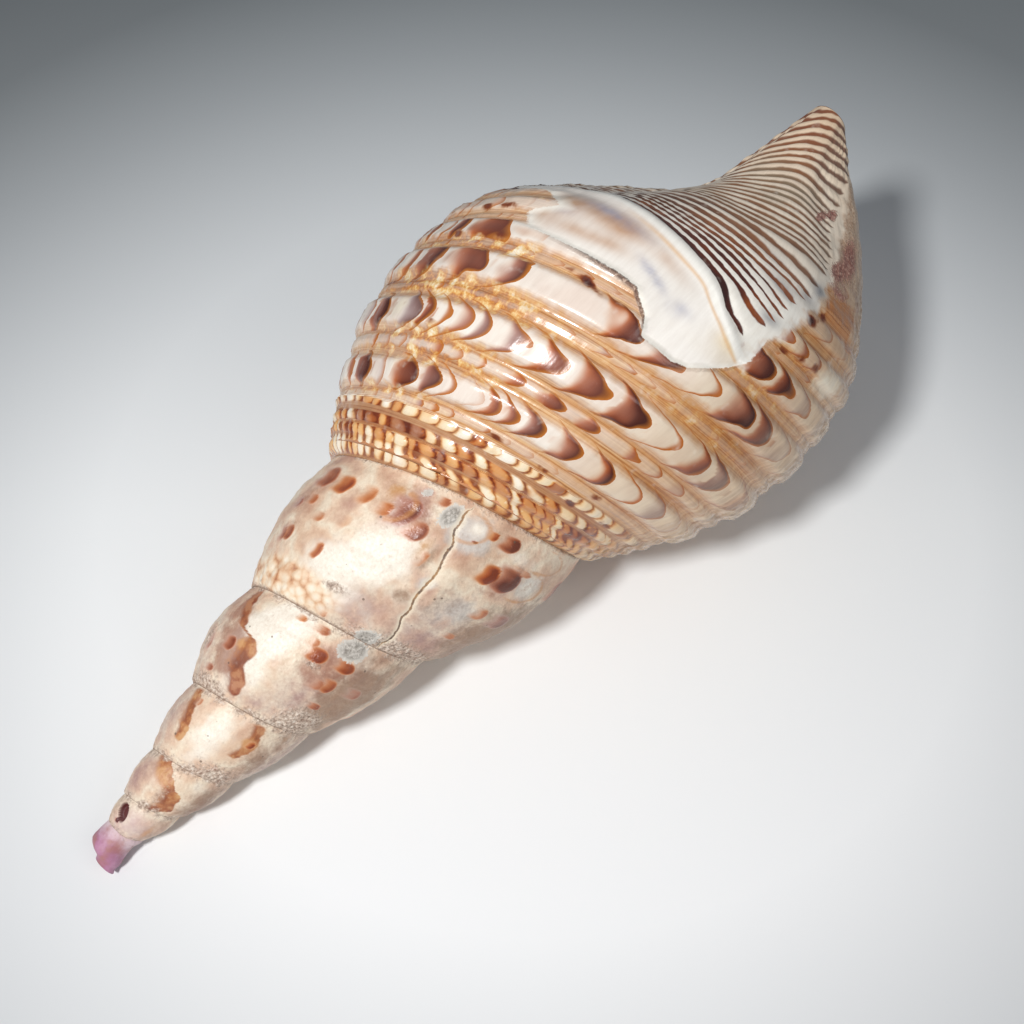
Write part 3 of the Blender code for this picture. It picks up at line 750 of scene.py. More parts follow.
spireSpots = (
    # turn, row, half turn, half row, tone from orange-brown 0 to dark mauve-brown 1, strength
    (-601, 0.37, 3.5, 0.05, 0.5, 0.8), (-606, 0.35, 3, 0.05, 0.9, 0.6), (-576, 0.34, 2.2, 0.05, 0.2, 0.75),
    (-587, 0.53, 3.2, 0.035, 0.3, 0.6), (-573, 0.57, 2.5, 0.045, 0.0, 0.4), (-609, 0.57, 4, 0.04, 1.0, 0.6),
    (-599, 0.62, 3, 0.04, 0.4, 0.6), (-602, 0.80, 5.5, 0.08, 0.7, 0.9), (-588, 0.78, 4.2, 0.065, 0.1, 1.0),
    (-574, 0.77, 3.4, 0.07, 0.1, 0.55), (-563, 0.73, 2.8, 0.045, 0.1, 0.8),
    (-556, 0.77, 5.5, 0.09, 1.0, 0.75),
    (-547, 0.70, 4.2, 0.06, 0.6, 0.85), (-555, 0.93, 2.5, 0.03, 1.0, 0.6), (-547, 0.92, 2.5, 0.03, 0.4, 0.7),
    (-537, 0.58, 2, 0.05, 0.2, 0.6), (-511, 0.69, 3.2, 0.055, 0.0, 1.2), (-501.5, 0.71, 4.8, 0.068, 0.7, 1.3),
    (-522, 0.885, 1.8, 0.025, 0.0, 0.9), (-513, 0.89, 3.4, 0.042, 0.5, 1.3),
    (-497.5, 0.475, 3, 0.04, 0.2, 0.8),
    (-495, 0.275, 3.5, 0.02, 0.3, 0.6), (-483, 0.48, 5, 0.05, 1.0, 0.8), (-499, 0.79, 6, 0.02, 0.3, 0.6),
    (-526.7, 0.805, 0.9, 0.01, 1.0, 1.3), (-592, 0.11, 2, 0.03, 0.2, 0.8), (-583, 0.11, 2, 0.03, 0.3, 0.5),
    (-572, 0.10, 2, 0.03, 0.1, 0.6), (-562, 0.085, 2.4, 0.03, 0.3, 0.8), (-552, 0.04, 2, 0.02, 0.2, 0.6),
    (-947, 0.44, 4.0, 0.06, 0.7, 0.9),
    (-955.5, 0.18, 5, 0.03, 0.8, 0.6), (-970, 0.37, 4, 0.08, 1.0, 0.5),
    (-896, 0.73, 5, 0.06, 0.25, 1.1), (-904.5, 0.81, 4, 0.04, 0.2, 0.6), (-878, 0.75, 5, 0.05, 0.3, 1.0),
    (-877, 0.55, 4, 0.06, 0.35, 0.9), (-883.6, 0.52, 4, 0.05, 0.6, 0.6), (-871, 0.34, 4, 0.03, 0.6, 0.8),
    (-858, 0.57, 6, 0.05, 0.8, 0.7), (-905.5, 0.93, 5, 0.04, 0.4, 0.6), (-919.6, 0.93, 3, 0.03, 0.0, 0.7),
    (-1305, 0.82, 4, 0.06, 0.4, 0.6), (-1236, 0.67, 3, 0.05, 0.2, 0.9),
    (-1245, 0.2, 6, 0.05, 0.5, 0.5), (-2017, 0.25, 6, 0.06, 0.6, 1.2),
)

spireStains = {
    # as in bodyStains
    "white": ((-552, 0.46, 16, 0.20, 0.004, 1.35), (-572, 0.30, 12, 0.12, 0, 0.8),
              (-527, 0.48, 3, 0.04, 0, 0.7),
              (-529, 0.875, 4, 0.04, 0, 1.1), (-930, 0.55, 15, 0.5, 0.01, 1.2),
              (-931, 0.68, 17, 0.24, 0.008, 1.6), (-914, 0.30, 7, 0.12, 0, 0.5),
              (-1270, 0.5, 20, 0.55, 0, 0.8), (-490, 0.72, 9, 0.10, 0, 0.6), (-505, 0.86, 12, 0.06, 0, 0.5),
              (-555, 0.15, 20, 0.08, 0, 0.5), (-1590, 0.8, 20, 0.2, 0, 0.5)),
    "mauve": ((-612, 0.5, 14, 0.5, 0, 0.2), (-510, 0.30, 22, 0.14, 0, 0.6), (-883, 0.36, 18, 0.2, 0, 1.0),
              (-972, 0.4, 16, 0.4, 0, 0.5), (-500, 0.15, 24, 0.1, 0, 0.7), (-1980, 0.4, 60, 0.5, 0, 0.6),
              (-1562, 0.5, 24, 0.5, 0, 0.8), (-1195, 0.5, 24, 0.6, 0, 0.9), (-1680, 0.5, 30, 0.5, 0, 0.9),
              (-1330, 0.5, 20, 0.5, 0, 0.8), (-545, 0.17, 14, 0.12, 0, 0.9), (-556, 0.78, 8, 0.14, 0, 0.9),
              (-905, 0.12, 16, 0.08, 0, 0.7), (-870, 0.75, 16, 0.2, 0, 0.6)),
    "pearl": ((-530, 0.83, 10, 0.11, 0, 1.5), (-507, 0.42, 12, 0.12, 0, 1.0), (-529, 0.47, 4, 0.05, 0, 1.0),
              (-490, 0.73, 9, 0.09, 0, 1.0)),
    "rust": ((-943, 0.28, 16, 0.14, 0, 1.2), (-948, 0.50, 12, 0.14, 0, 1.1), (-961, 0.78, 9, 0.20, 0, 1.2),
             (-889, 0.64, 15, 0.2, 0, 1.0), (-606, 0.5, 8, 0.4, 0, 0.4), (-553, 0.80, 9, 0.14, 0, 0.9),
             (-500, 0.80, 8, 0.03, 0, 0.6), (-1570, 0.4, 14, 0.3, 0, 0.4), (-505, 0.60, 12, 0.025, 0, 0.6)),
    # painted shade: grey-brown darkening over the side of each whorl turned from the light, and a few small
    # patches near the crack
    "shade": ((-866, 0.5, 17, 0.45, 0, 1.0), (-846, 0.5, 14, 0.6, 0, 0.9), (-484, 0.38, 16, 0.28, 0, 1.0),
              (-466, 0.3, 12, 0.5, 0, 0.9), (-1215, 0.5, 20, 0.6, 0, 0.8), (-1570, 0.5, 24, 0.6, 0, 1.0),
              (-535, 0.60, 3, 0.12, 0, 0.9), (-532, 0.36, 3.5, 0.05, 0, 0.9), (-515, 0.42, 12, 0.13, 0, 0.5),
              (-1940, 0.5, 30, 0.6, 0, 0.6), (-2050, 0.5, 30, 0.6, 0, 0.6)),
    "amber": ((-565, 0.85, 4.5, 0.07, 0, 0.9),
              (-1238, 0.70, 9, 0.14, 0, 0.8), (-936, 0.5, 6, 0.10, 0, 0.8), (-1945, 0.45, 10, 0.35, 0, 0.7),
              (-920, 0.93, 4, 0.04, 0, 0.6), (-540, 0.62, 3, 0.12, 0, 0.6), (-511, 0.70, 4, 0.06, 0, 0.8),
              (-522, 0.885, 2.2, 0.03, 0, 1.0)),
    "scab": ((-525, 0.045, 6, 0.06, 0, 1.7), (-541, 0.87, 3.8, 0.08, 0, 1.8), (-883, 0.90, 9, 0.10, 0, 1.8),
             (-555, 0.93, 3, 0.04, 0, 1.0)),
    "grit": ((-557, 0.205, 5.5, 0.022, 0, 1.3), (-866, 0.15, 18, 0.14, 0, 1.2),
             (-505, 0.06, 28, 0.06, 0, 1.3), (-955, 0.06, 22, 0.08, 0, 1.0), (-1235, 0.1, 24, 0.16, 0, 1.0),
             (-975, 0.4, 6, 0.12, 0.01, 0.8), (-895, 0.64, 6, 0.03, 0, 0.9), (-1625, 0.35, 10, 0.3, 0, 0.5)),
}

# long stains across a whorl with a crisp front edge: row, back turn, front turn and tone at each station
spireRuns = (
    ((0.10, -934, -918, 0.9), (0.20, -944, -919, 0.7), (0.27, -950, -921, 0.6), (0.34, -946, -928, 0.5),
     (0.42, -950, -926, 0.2), (0.50, -948, -927, 0.0), (0.57, -944, -932, 0.1), (0.62, -957, -946, 0.5),
     (0.70, -962, -949, 0.6), (0.80, -968, -954, 0.7), (0.90, -971, -957, 0.7), (0.97, -970, -961, 0.8)),
    ((0.30, -1312, -1292, 0.0), (0.45, -1316, -1293, 0.0), (0.60, -1320, -1298, 0.05),
     (0.75, -1324, -1304, 0.1),
     (0.95, -1330, -1311, 0.3)),
    ((0.45, -1252, -1236, 0.3), (0.60, -1250, -1230, 0.1), (0.72, -1250, -1232, 0.2),
     (0.92, -1256, -1238, 0.6)),
    ((0.02, -1650, -1612, 0.6), (0.18, -1640, -1590, 0.5), (0.35, -1648, -1598, 0.3),
     (0.50, -1650, -1601, 0.0),
     (0.60, -1662, -1616, 0.0), (0.80, -1674, -1632, 0.05), (1.0, -1690, -1646, 0.1)),
)

# thin orange rims of old crescents: turn, row, half turn, half row
spireArcs = ((-494, 0.72, 15, 0.10), (-492, 0.90, 13, 0.07), (-533, 0.86, 9, 0.09), (-560, 0.78, 6, 0.10))

# turn and row along the crack
crackPath = ((-515, 0.06), (-515, 0.117), (-521.7, 0.233), (-526.7, 0.40), (-529, 0.583), (-532.5, 0.733),
             (-535.8, 0.817), (-537, 0.93))


def fromHole(turn, row):
    # 0 in the middle of the small hole by the apex, 1 at its edge
    at, middle, half, halfRow, _ = spireForm["hole"]
    return ((turn - at + 30 * (row - middle)) / half) ** 2 + ((row - middle) / halfRow) ** 2


def spireFields(turn, row):
    fields = {name: np.zeros(row.shape) for name in ("spot", "tone")}
    random = np.random.default_rng(11)
    hidden = []
    for whorl in range(5):
        for rib in (0.34, 0.55, 0.77, 0.91):
            at = -360 - 360 * whorl - random.uniform(0, 12)
            while at > -720 - 360 * whorl:
                hidden.append((at, rib + random.uniform(-0.03, 0.03), random.uniform(3.0, 6.0)
                               * (1 + 0.4 * whorl),
                               random.uniform(0.04, 0.085), random.uniform(0, 1), random.uniform(0.3, 1.0)))
                at -= random.uniform(10, 26) * (1 + 0.3 * whorl)
    seen = ((-645, -465), (-1010, -820), (-1370, -1170), (-1730, -1540), (-2336, -1890))
    hidden = [spot for spot in hidden if not any(a < spot[0] < b for a, b in seen)]
    for at, middle, half, halfRow, tone, strength in list(spireSpots) + hidden:
        near = np.abs(turn[:, 0] - at) < 3 * half
        across = np.abs(row[near] - middle) / halfRow / 1.3
        along = (turn[near] - at) / half + 0.8 * across**2
        value = np.clip((along + 1.9) / 2.6, 0, 1) ** 0.8 * (1 - smooth((along - 0.7) / 0.7))
        value *= strength * (1 - smooth((across - 0.45) / 0.75))
        more = value > fields["spot"][near]
        fields["spot"][near] = np.where(more, value, fields["spot"][near])
        fields["tone"][near] = np.where(more & (value > 0.02), tone, fields["tone"][near])
    for name, spots in spireStains.items():
        fields[name] = blots(turn, row, spots)
    wide = np.interp(turn, (-1100, -760, -700), (0.045, 0.035, 0.014))
    wide = wide * (1 + 0.8 * waves(turn / 50, 0 * row, 31, 7)) * growth(turn + 540) ** -0.7
    suture = np.exp(-((row / (wide + 0.012)) ** 2))
    suture = suture + 0.9 * np.exp(-(((1 - row) / (0.9 * wide + 0.008)) ** 2))
    fields["grit"] += suture * (0.7 + 0.9 * waves(turn / 25, row, 32, 7))
    fields["run"], fields["runTone"] = np.zeros(row.shape), np.zeros(row.shape)
    for k, run in enumerate(spireRuns):
        stations = np.array(run)
        ragged = 1.6 * waves(row * 9, turn / 25, 60 + k, 6) * growth(turn + 720) ** -0.7
        back, front, tone = (np.interp(row, stations[:, 0], stations[:, i]) for i in (1, 2, 3))
        inside = smooth((turn - back) / np.maximum(0.85 * (front - back), 1))
        inside = inside * (1 - smooth((turn - front + ragged) / 4 + 0.5))
        top, bottom = stations[0, 0], stations[-1, 0]
        inside *= smooth((row - top + 0.05) / 0.06) * (1 - smooth((row - bottom) / 0.05))
        fields["run"] = np.maximum(fields["run"], inside)
        fields["runTone"] = np.where(inside > 0.01, tone, fields["runTone"])
    fields["arc"] = np.full(row.shape, 9.0)
    for at, middle, half, halfRow in spireArcs:
        ring = np.sqrt(((turn - at) / half) ** 2 + ((row - middle) / halfRow) ** 2)
        ring = np.abs(ring - 1) * half * 0.8 + 4 * np.maximum(at - turn, 0) / half
        fields["arc"] = np.minimum(fields["arc"], ring)
    fields["beads"] = blots(turn, row, ((-588, 0.10, 36, 0.12, 0, 1.3),))
    fields["tip"] = 0.4 * bump(turn, -1985, 80) * bump(row, 0.35, 0.8) + smooth((-2085 - turn) / 90)
    crackTurn = np.interp(row, [v for _, v in crackPath], [t for t, _ in crackPath])
    crackTurn = crackTurn + 0.9 * waves(turn * 0, row * 9, 33, 5)
    off = (turn - crackTurn) * 0.7
    past = np.maximum(np.maximum(0.05 - row, row - 0.94) * 60, 0)
    fields["crack"] = np.clip(off + np.where(off < 0, -past, past), -6.0, 6.0)
    fields["hole"] = np.minimum(fromHole(turn, row), ((turn + 2017) / 5) ** 2 + ((row - 0.25) / 0.05) ** 2)
    fields["hole"] = np.minimum(fields["hole"], 4.0)
    fields.update(turn=turn, row=row)
    return fields


def spireRelief(turn, row, points):
    height = np.zeros(row.shape)
    size = growth(turn)
    worn = 1.0 - 0.7 * smooth((-turn - 360) / 90)
    for name in ("ribA", "ribB", "ribC", "ribD"):
        across = np.abs(row - bands[name]["middle"]) / bands[name]["half"]
        height += bands[name]["height"] * worn * (1 - smooth((across - 0.5) / 0.7))
    height += spireForm["sutureRoll"] * np.sin(np.pi * np.clip(row / 0.2, 0, 1)) ** 0.6
    for at, half, rise in spireForm["varices"]:
        height += rise * np.exp(-(((turn - at) / half) ** 2)) * towardsCanal(row)
    sewn = smooth(row / 0.03) * (1 - smooth((row - 0.97) / 0.03))
    rough = 0.45 * grain(points, 9, 3.0) + 0.16 * grain(points, 2.5, 7.0)
    marks = spireFields(turn, row)
    gritty = np.clip(marks["grit"], 0, 1.3) * (0.35 + 0.75 * grain(points, 2.4, 9.0))
    beaded = (0.4 + 0.7 * grain(points, 3.2, 5.0)) * np.clip(marks["beads"], 0, 1)
    gritty += beaded + 0.35 * np.clip(marks["spot"], 0, 1)
    height -= spireForm["crackDepth"] * (1 - smooth(np.abs(marks["crack"]) / 1.5)) / size
    sunk = spireForm["hole"][-1] * smooth((1.2 - fromHole(turn, row)) / 0.4)
    return (size * height + (rough + gritty) * np.minimum(size * 1.6, 1)) * sewn - sunk


def buildSpire(materials):
    first = shellForm["firstTurn"]
    columns = -360 - first
    turns = np.linspace(first, -360, columns + 1)
    rows = np.linspace(0, 1, spireForm["rows"] + 1)
    turn, row = np.meshgrid(turns, rows, indexing="ij")
    z, r = upperOutline(turn, row)
    smoothPoints = place(turn, z, r)
    height = spireRelief(turn, row, smoothPoints)
    upper = smoothPoints + gridNormals(smoothPoints) * height[..., None] * mm
    upper[..., 2] = np.maximum(upper[..., 2], 0)
    upper[0] = upper[0, 0]

    around = 361               # points round each ring of the apex
    ringTurns = turns[:around]
    stations = np.array(list(shellForm["apexRings"]) + [shellForm["apexMiddle"]], float)
    depth = np.linspace(0, 1, spireForm["apexRings"] + 1)
    apex = np.empty((around, len(depth), 3))
    lean = place(shellForm["apexShiftTurn"], 0, 1) - place(0, 0, 0)
    for i in range(around):
        points = np.vstack(((z[i, 0], r[i, 0], 0), stations))
        length = np.linalg.norm(np.diff(points, axis=0), axis=1).sum()
        path = curveThrough(points, depth * length * 0.99999)
        apex[i] = place(np.full(len(depth), ringTurns[i]), path[:, 0], path[:, 1]) + path[:, 2:] * lean
    apex[:, 0] = upper[:around, 0]
    apex[:, -1] = apex[:, -1].mean(axis=0)
    apex[-1] = apex[0]
    apex[..., 2] = np.maximum(apex[..., 2], 0)
    fields = spireFields(turn, row)
    apexFields = {
        "turn": np.broadcast_to(ringTurns[:, None], apex.shape[:2]).copy(),
        "row": -np.broadcast_to(depth, apex.shape[:2]),
        "tip": np.broadcast_to(1 - 0.6 * smooth((depth - 0.75) / 0.2), apex.shape[:2]),
        "crack": np.full(apex.shape[:2], 6.0),
        "hole": np.full(apex.shape[:2], 4.0),
    }
    bm = bmesh.new()
    ends = [first] + [t for t, _ in spireForm["coarser"]][::-1] + [-360]
    steps = [n for _, n in spireForm["coarser"]][::-1] + [1]
    for start, end, every in zip(ends[:-1], ends[1:], steps):
        verts = addGrid(bm, end - start, spireForm["rows"] // every, 0, every)
        for v in verts:
            v.co.x += start - first
        if end != -360:
            edges = {e for v in verts for e in v.link_edges}
            finer = [e for e in edges if all(v.co.x == end - first for v in e.verts)]
            bmesh.ops.subdivide_edges(bm, edges=finer, cuts=1)
    addGrid(bm, 360, spireForm["apexRings"], 1)
    mesh, bm = meshFromGrids("spire", bm, (upper, apex), (fields, apexFields), materials)
    for rim in rimLoops(bm):
        joinRim(bm, rim, hiddenMiddle())
    return finishPiece("spire", mesh, bm)


asColour = {"data_type": "RGBA"}
softly = {"interpolation_type": "SMOOTHSTEP"}


def paint(code):
    # an sRGB hex colour as the linear colour that the sockets take
    shares = [int(code[i : i + 2], 16) / 255 for i in (1, 3, 5)]
    return [c / 12.92 if c <= 0.04045 else ((c + 0.055) / 1.055) ** 2.4 for c in shares] + [1.0]


def addNode(tree, kind, *links, out=None, stops=None, **settings):
    made = tree.nodes.new("ShaderNode" + kind)
    for key, value in settings.items():
        setattr(made, key, value)
    for socket, link in zip([s for s in made.inputs if s.enabled], links):
        if isinstance(link, bpy.types.NodeSocket):
            tree.links.new(link, socket)
        elif link is not None:
            socket.default_value = paint(link) if isinstance(link, str) else link
    if stops:
        ramp = made.color_ramp
        for at, _ in stops[1:-1]:
            ramp.elements.new(at)
        ramp.elements[0].position, ramp.elements[-1].position = stops[0][0], stops[-1][0]
        for element, (_, colour) in zip(ramp.elements, stops):
            element.color = paint(colour)
    return made.outputs[out] if out else next(s for s in made.outputs if s.enabled)


def uneven(put, noiseValue, amount, base):
    # the base with the noise added, so that its edges wander
    noisy = put("Math", noiseValue, amount, -amount / 2, operation="MULTIPLY_ADD")
    return put("Math", noisy, base, operation="ADD")


def newMaterial(name):
    material = bpy.data.materials.new(name)
    material.use_nodes = True
    return material, material.node_tree


def finishMaterial(material, colour, rough, height, strength, distance, constants):
    # joins the colour, roughness and fine relief to the shader, whose other values are constants
    tree = material.node_tree
    surface = tree.nodes["Principled BSDF"].inputs
    bumped = addNode(tree, "Bump", out="Normal")
    bumped.node.inputs["Strength"].default_value = strength
    bumped.node.inputs["Distance"].default_value = distance
    tree.links.new(height, bumped.node.inputs["Height"])
    for name, made in (("Base Color", colour), ("Roughness", rough), ("Normal", bumped)):
        tree.links.new(made, surface[name])
    for name, value in constants.items():
        surface[name].default_value = value
    return material


def glazedShell():
    # Aragonite under a natural glaze: opaque, glossy like porcelain, painted in bands of
    # crescents, beads and stripes that follow the growth lines.
    material, tree = newMaterial("glazed aragonite")
    put = partial(addNode, tree)
    names = ("cell", "across", "share", "ink", "grey", "rib", "bead", "rim", "stripe", "stripeWidth", "neck",
             "glaze",
             "glazeLine", "violet", "cloud", "gold", "stain", "orange", "crust", "cream", "row", "turn",
             "fade")
    field = {name: put("Attribute", attribute_name=name, out="Fac") for name in names}
    point = put("TexCoord", out="Object")
    growthMap = put("UVMap", uv_map="growth")
    broad = put("TexNoise", point, 45.0, 3.0, 0.55)            # clouds of 22 mm
    wobble = put("TexNoise", point, 230.0, 2.0, 0.5)           # 4 mm waves in every edge
    slow = put("TexNoise", point, 140.0, 0.6, 0.4)             # 7 mm waves, without detail
    fine = put("TexNoise", point, 1100.0, 3.0, 0.6)            # 1 mm mottling
    along = put("Mapping", growthMap, None, None, (9.0, 170.0, 1.0))
    streak = put("TexNoise", along, 1.0, 3.0, 0.6)             # threads 0.7 mm wide, along the whorl
    grown = put("Mapping", growthMap, None, None, (260.0, 9.0, 1.0))
    growthLine = put("TexNoise", grown, 1.0, 3.0, 0.6)         # growth lines about 1 mm apart

    # crescents: each cell darkens towards its front edge, which is sharp
    wander = put("Math", slow, 0.55, -0.275, operation="MULTIPLY_ADD")
    phase = put("Math", field["cell"], wander, operation="ADD")
    part = put("Math", phase, operation="FRACT")
    start = put("Math", 1.0, put("Math", field["share"], 1.35, operation="MULTIPLY"), operation="SUBTRACT")
    towards = put("MapRange", part, start, 1.0, 0.0, 1.0)
    soft = put("Math", towards, 0.85, operation="POWER")
    inked = put("Math", field["ink"], put("MapRange", field["fade"], 0.0, 1.0, 1.0, 0.7),
                operation="MULTIPLY")
    dark = put("Math", soft, inked, operation="MULTIPLY")
    brown = put("ValToRGB", dark, stops=(
        (0.0, "#EDBE8A"), (0.16, "#DE9548"), (0.34, "#C4661A"), (0.52, "#974410"), (0.72, "#5F220C"),
        (1.0, "#300E09")))
    mauve = put("ValToRGB", dark, stops=(
        (0.0, "#DCCAC2"), (0.3, "#B8A29E"), (0.55, "#8A6A64"), (0.8, "#522E26"), (1.0, "#301611")))
    greyer = put("Math", field["grey"], put("MapRange", field["across"], 0.15, 1.0, 0.28, 0.0),
                 operation="ADD",
                 use_clamp=True)
    mark = put("Mix", greyer, brown, mauve, **asColour)
    cover = put("MapRange", dark, 0.02, 0.42, 0.0, 1.0, **softly)

    # ground colours: pinkish white on the ribs, tan with fine threads in the grooves
    white = put("Mix", put("MapRange", broad, 0.35, 0.65, 0.0, 1.0), "#F8F1E5", "#EBDACC", **asColour)
    tan = put("ValToRGB", streak, stops=(
        (0.3, "#9C6238"), (0.42, "#C68D58"), (0.55, "#DCAC7A"), (0.7, "#EFCC9F"), (0.85, "#DDB088")))
    lumps = put("Math", put("Math", fine, 0.35, operation="MULTIPLY"), wobble, operation="ADD")
    golden = put("ValToRGB", lumps, stops=(
        (0.56, "#84400F"), (0.64, "#B8681F"), (0.71, "#DC9A46"), (0.79, "#F4D08A"), (0.87, "#FCF0D2")))
    goldShare = put("Math", field["gold"], put("MapRange", wobble, 0.35, 0.6, 0.4, 1.1), operation="MULTIPLY",
                    use_clamp=True)
    tan = put("Mix", goldShare, tan, golden, **asColour)
    ragged = put("Math", wobble, 0.6, field["across"], operation="MULTIPLY_ADD")
    ragged = put("Math", goldShare, 0.40, ragged, operation="MULTIPLY_ADD")
    grooved = put("MapRange", field["turn"], -238.0, -205.0, 0.35, 1.0)
    groove = put("MapRange", ragged, 1.15, 1.5, 0.0, 1.0, **softly)
    groove = put("Math", groove, grooved, operation="MULTIPLY")
    edgeTan = put("MapRange", ragged, 0.85, 1.3, 0.0, 0.65, **softly)
    ribGround = put("Mix", edgeTan, white, tan, **asColour)
    ground = put("Mix", field["rib"], tan, ribGround, **asColour)
    marked = put("Mix", cover, ground, mark, **asColour)
    rimStart = put("Math", 1.0, put("Math", field["rim"], 1.7, operation="MULTIPLY"), operation="SUBTRACT")
    rimShare = put("MapRange", part, rimStart, 1.0, 0.0, 1.0)
    rimShown = put("Math", rimShare, put("MapRange", inked, 0.05, 0.4, 0.1, 1.0), operation="MULTIPLY")
    banded = put("Mix", groove, marked, tan, **asColour)
    rimShown = put("Math", rimShown, put("MapRange", field["across"], 1.1, 1.6, 1.0, 0.15),
                   operation="MULTIPLY")
    banded = put("Mix", rimShown, banded, "#C27428", **asColour)

    # beads by the suture: cream or orange-brown drops with dark gaps, whose darkness is partly the shell's
    # own brown and partly painted shade between the beads
    fromMiddle = put("Math", put("Math", part, 2.0, -1.0, operation="MULTIPLY_ADD"), 2.0, operation="POWER")
    flat = put("Math", field["across"], 3.0, operation="POWER")
    roundness = put("Math", fromMiddle, put("Math", flat, 0.25, operation="MULTIPLY"), operation="ADD")
    unevenBead = uneven(put, wobble, 0.9, roundness)
    unevenBead = put("Math", put("Math", slow, 1.7, -0.80, operation="MULTIPLY_ADD"), unevenBead,
                     operation="ADD")
    tone = put("Math", put("MapRange", broad, 0.35, 0.65, -0.12, 0.12), field["ink"], operation="ADD")
    drop = put("ValToRGB", tone, stops=(
        (0.15, "#FDF5E6"), (0.35, "#FAE8C8"), (0.55, "#EFBE80"), (0.75, "#D6965E"), (1.0, "#AE7A62")))
    # partly painted shade: each bead darkens from its middle into the gaps
    gap = put("ValToRGB", unevenBead, stops=(
        (0.0, "#FFFFFF"), (0.35, "#FBF0E0"), (0.65, "#D8A87C"), (0.95, "#985E40")))
    beads = put("Mix", 1.0, drop, gap, **asColour, blend_type="MULTIPLY")
    thread = put("MapRange", field["across"], 0.92, 1.3, 0.0, 0.92, **softly)
    beads = put("Mix", thread, beads, put("Mix", 0.5, tan, "#A4745C", **asColour), **asColour)
    banded = put("Mix", field["bead"], banded, beads, **asColour)
    stained = uneven(put, wobble, 1.2, field["stain"])
    stainShare = put("MapRange", stained, 0.35, 0.7, 0.0, 1.0, **softly)
    stainColour = put("ValToRGB", stained, stops=((0.4, "#B46E34"), (0.75, "#7A3A1E"), (1.0, "#4A1E16")))
    banded = put("Mix", stainShare, banded, stainColour, **asColour)
    beige = put("Mix", put("MapRange", growthLine, 0.35, 0.65, 0.0, 1.0), "#EFE0C6", "#AE8F70", **asColour)
    banded = put("Mix", put("Math", field["fade"], 0.6, operation="MULTIPLY"), banded, beige, **asColour)
    # a beige tint multiplied over turns -180 to -100, darkest near turn -140
    lipwardTint = put("ValToRGB", put("MapRange", field["turn"], -180.0, -100.0, 0.0, 1.0), stops=(
        (0.0, "#FFFFFF"), (0.25, "#F5EBDC"), (0.48, "#EADBC8"), (0.75, "#F4DFC6"), (1.0, "#F4E8D6")))
    banded = put("Mix", 1.0, banded, lipwardTint, **asColour, blend_type="MULTIPLY")
    worn = put("ValToRGB", fine, stops=((0.35, "#A78872"), (0.5, "#CBB39B"), (0.65, "#E4D4C0")))
    bark = put("Math", put("MapRange", field["row"], 1.24, 1.38, 0.0, 0.7),
               put("MapRange", field["turn"], -108.0, -82.0, 1.0, 0.15), operation="MULTIPLY")
    banded = put("Mix", bark, banded, worn, **asColour)
    creamy = uneven(put, wobble, 1.0, field["cream"])
    creamShare = put("MapRange", creamy, 0.2, 1.0, 0.0, 0.9, **softly)
    banded = put("Mix", creamShare, banded, "#F4EAD4", **asColour)
    patch = uneven(put, wobble, 1.0, field["orange"])
    patchShare = put("MapRange", patch, 0.45, 0.75, 0.0, 0.9, **softly)
    patchColour = put("ValToRGB", streak, stops=((0.3, "#96562C"), (0.5, "#C27C42"), (0.75, "#D9A068")))
    banded = put("Mix", patchShare, banded, patchColour, **asColour)

    # stripes round the neck, dark brown on cream
    line = put("Math", put("Math", wobble, 0.24, field["stripe"], operation="MULTIPLY_ADD"), 0.38,
               operation="ADD")
    line = put("Math", put("Math", line, operation="FRACT"), 0.5, operation="SUBTRACT")
    line = put("Math", put("Math", line, operation="ABSOLUTE"), 2.0, operation="MULTIPLY")
    over = put("Math", field["stripeWidth"], line, operation="SUBTRACT")
    farther = put("MapRange", field["row"], 1.08, 1.42, 0.0, 1.0)
    blur = put("MapRange", farther, 0.0, 1.0, 0.10, 0.24)
    stripe = put("MapRange", over, put("Math", blur, -1.0, operation="MULTIPLY"), blur, 0.0, 1.0,
                 **softly)
    inkNear = put("ValToRGB", broad, stops=((0.38, "#3A1610"), (0.5, "#5A2615"), (0.6, "#944A1B")))
    inkFar = put("ValToRGB", broad, stops=((0.35, "#7A513A"), (0.5, "#986842"), (0.65, "#8E785E")))
    stripeInk = put("Mix", farther, inkNear, inkFar, **asColour)
    stripeInk = put("Mix", put("MapRange", field["row"], 1.62, 1.88, 0.0, 0.8), stripeInk, "#8C5032",
                    **asColour)
    greyEnd = put("MapRange", field["turn"], -166.0, -142.0, 0.0, 0.5)
    stripeInk = put("Mix", greyEnd, stripeInk, "#6D6258", **asColour)
    between = put("Mix", farther, "#F8F3E8", "#FBEDD8", **asColour)
    dusty = put("Math", put("MapRange", broad, 0.4, 0.65, 0.0, 0.5), farther, operation="MULTIPLY")
    between = put("Mix", dusty, between, "#E4CBB0", **asColour)
    between = put("Mix", put("Math", field["violet"], 0.75, operation="MULTIPLY", use_clamp=True), between,
                  "#84868C",
                  **asColour)
    between = put("Mix", put("MapRange", field["row"], 1.6, 1.95, 0.0, 0.55), between, "#E0B98C", **asColour)
    neck = put("Mix", stripe, between, stripeInk, **asColour)
    neckEdge = uneven(put, wobble, 1.4, field["neck"])
    neckShare = put("MapRange", neckEdge, 0.15, 0.85, 0.0, 1.0, **softly)
    banded = put("Mix", neckShare, banded, neck, **asColour)

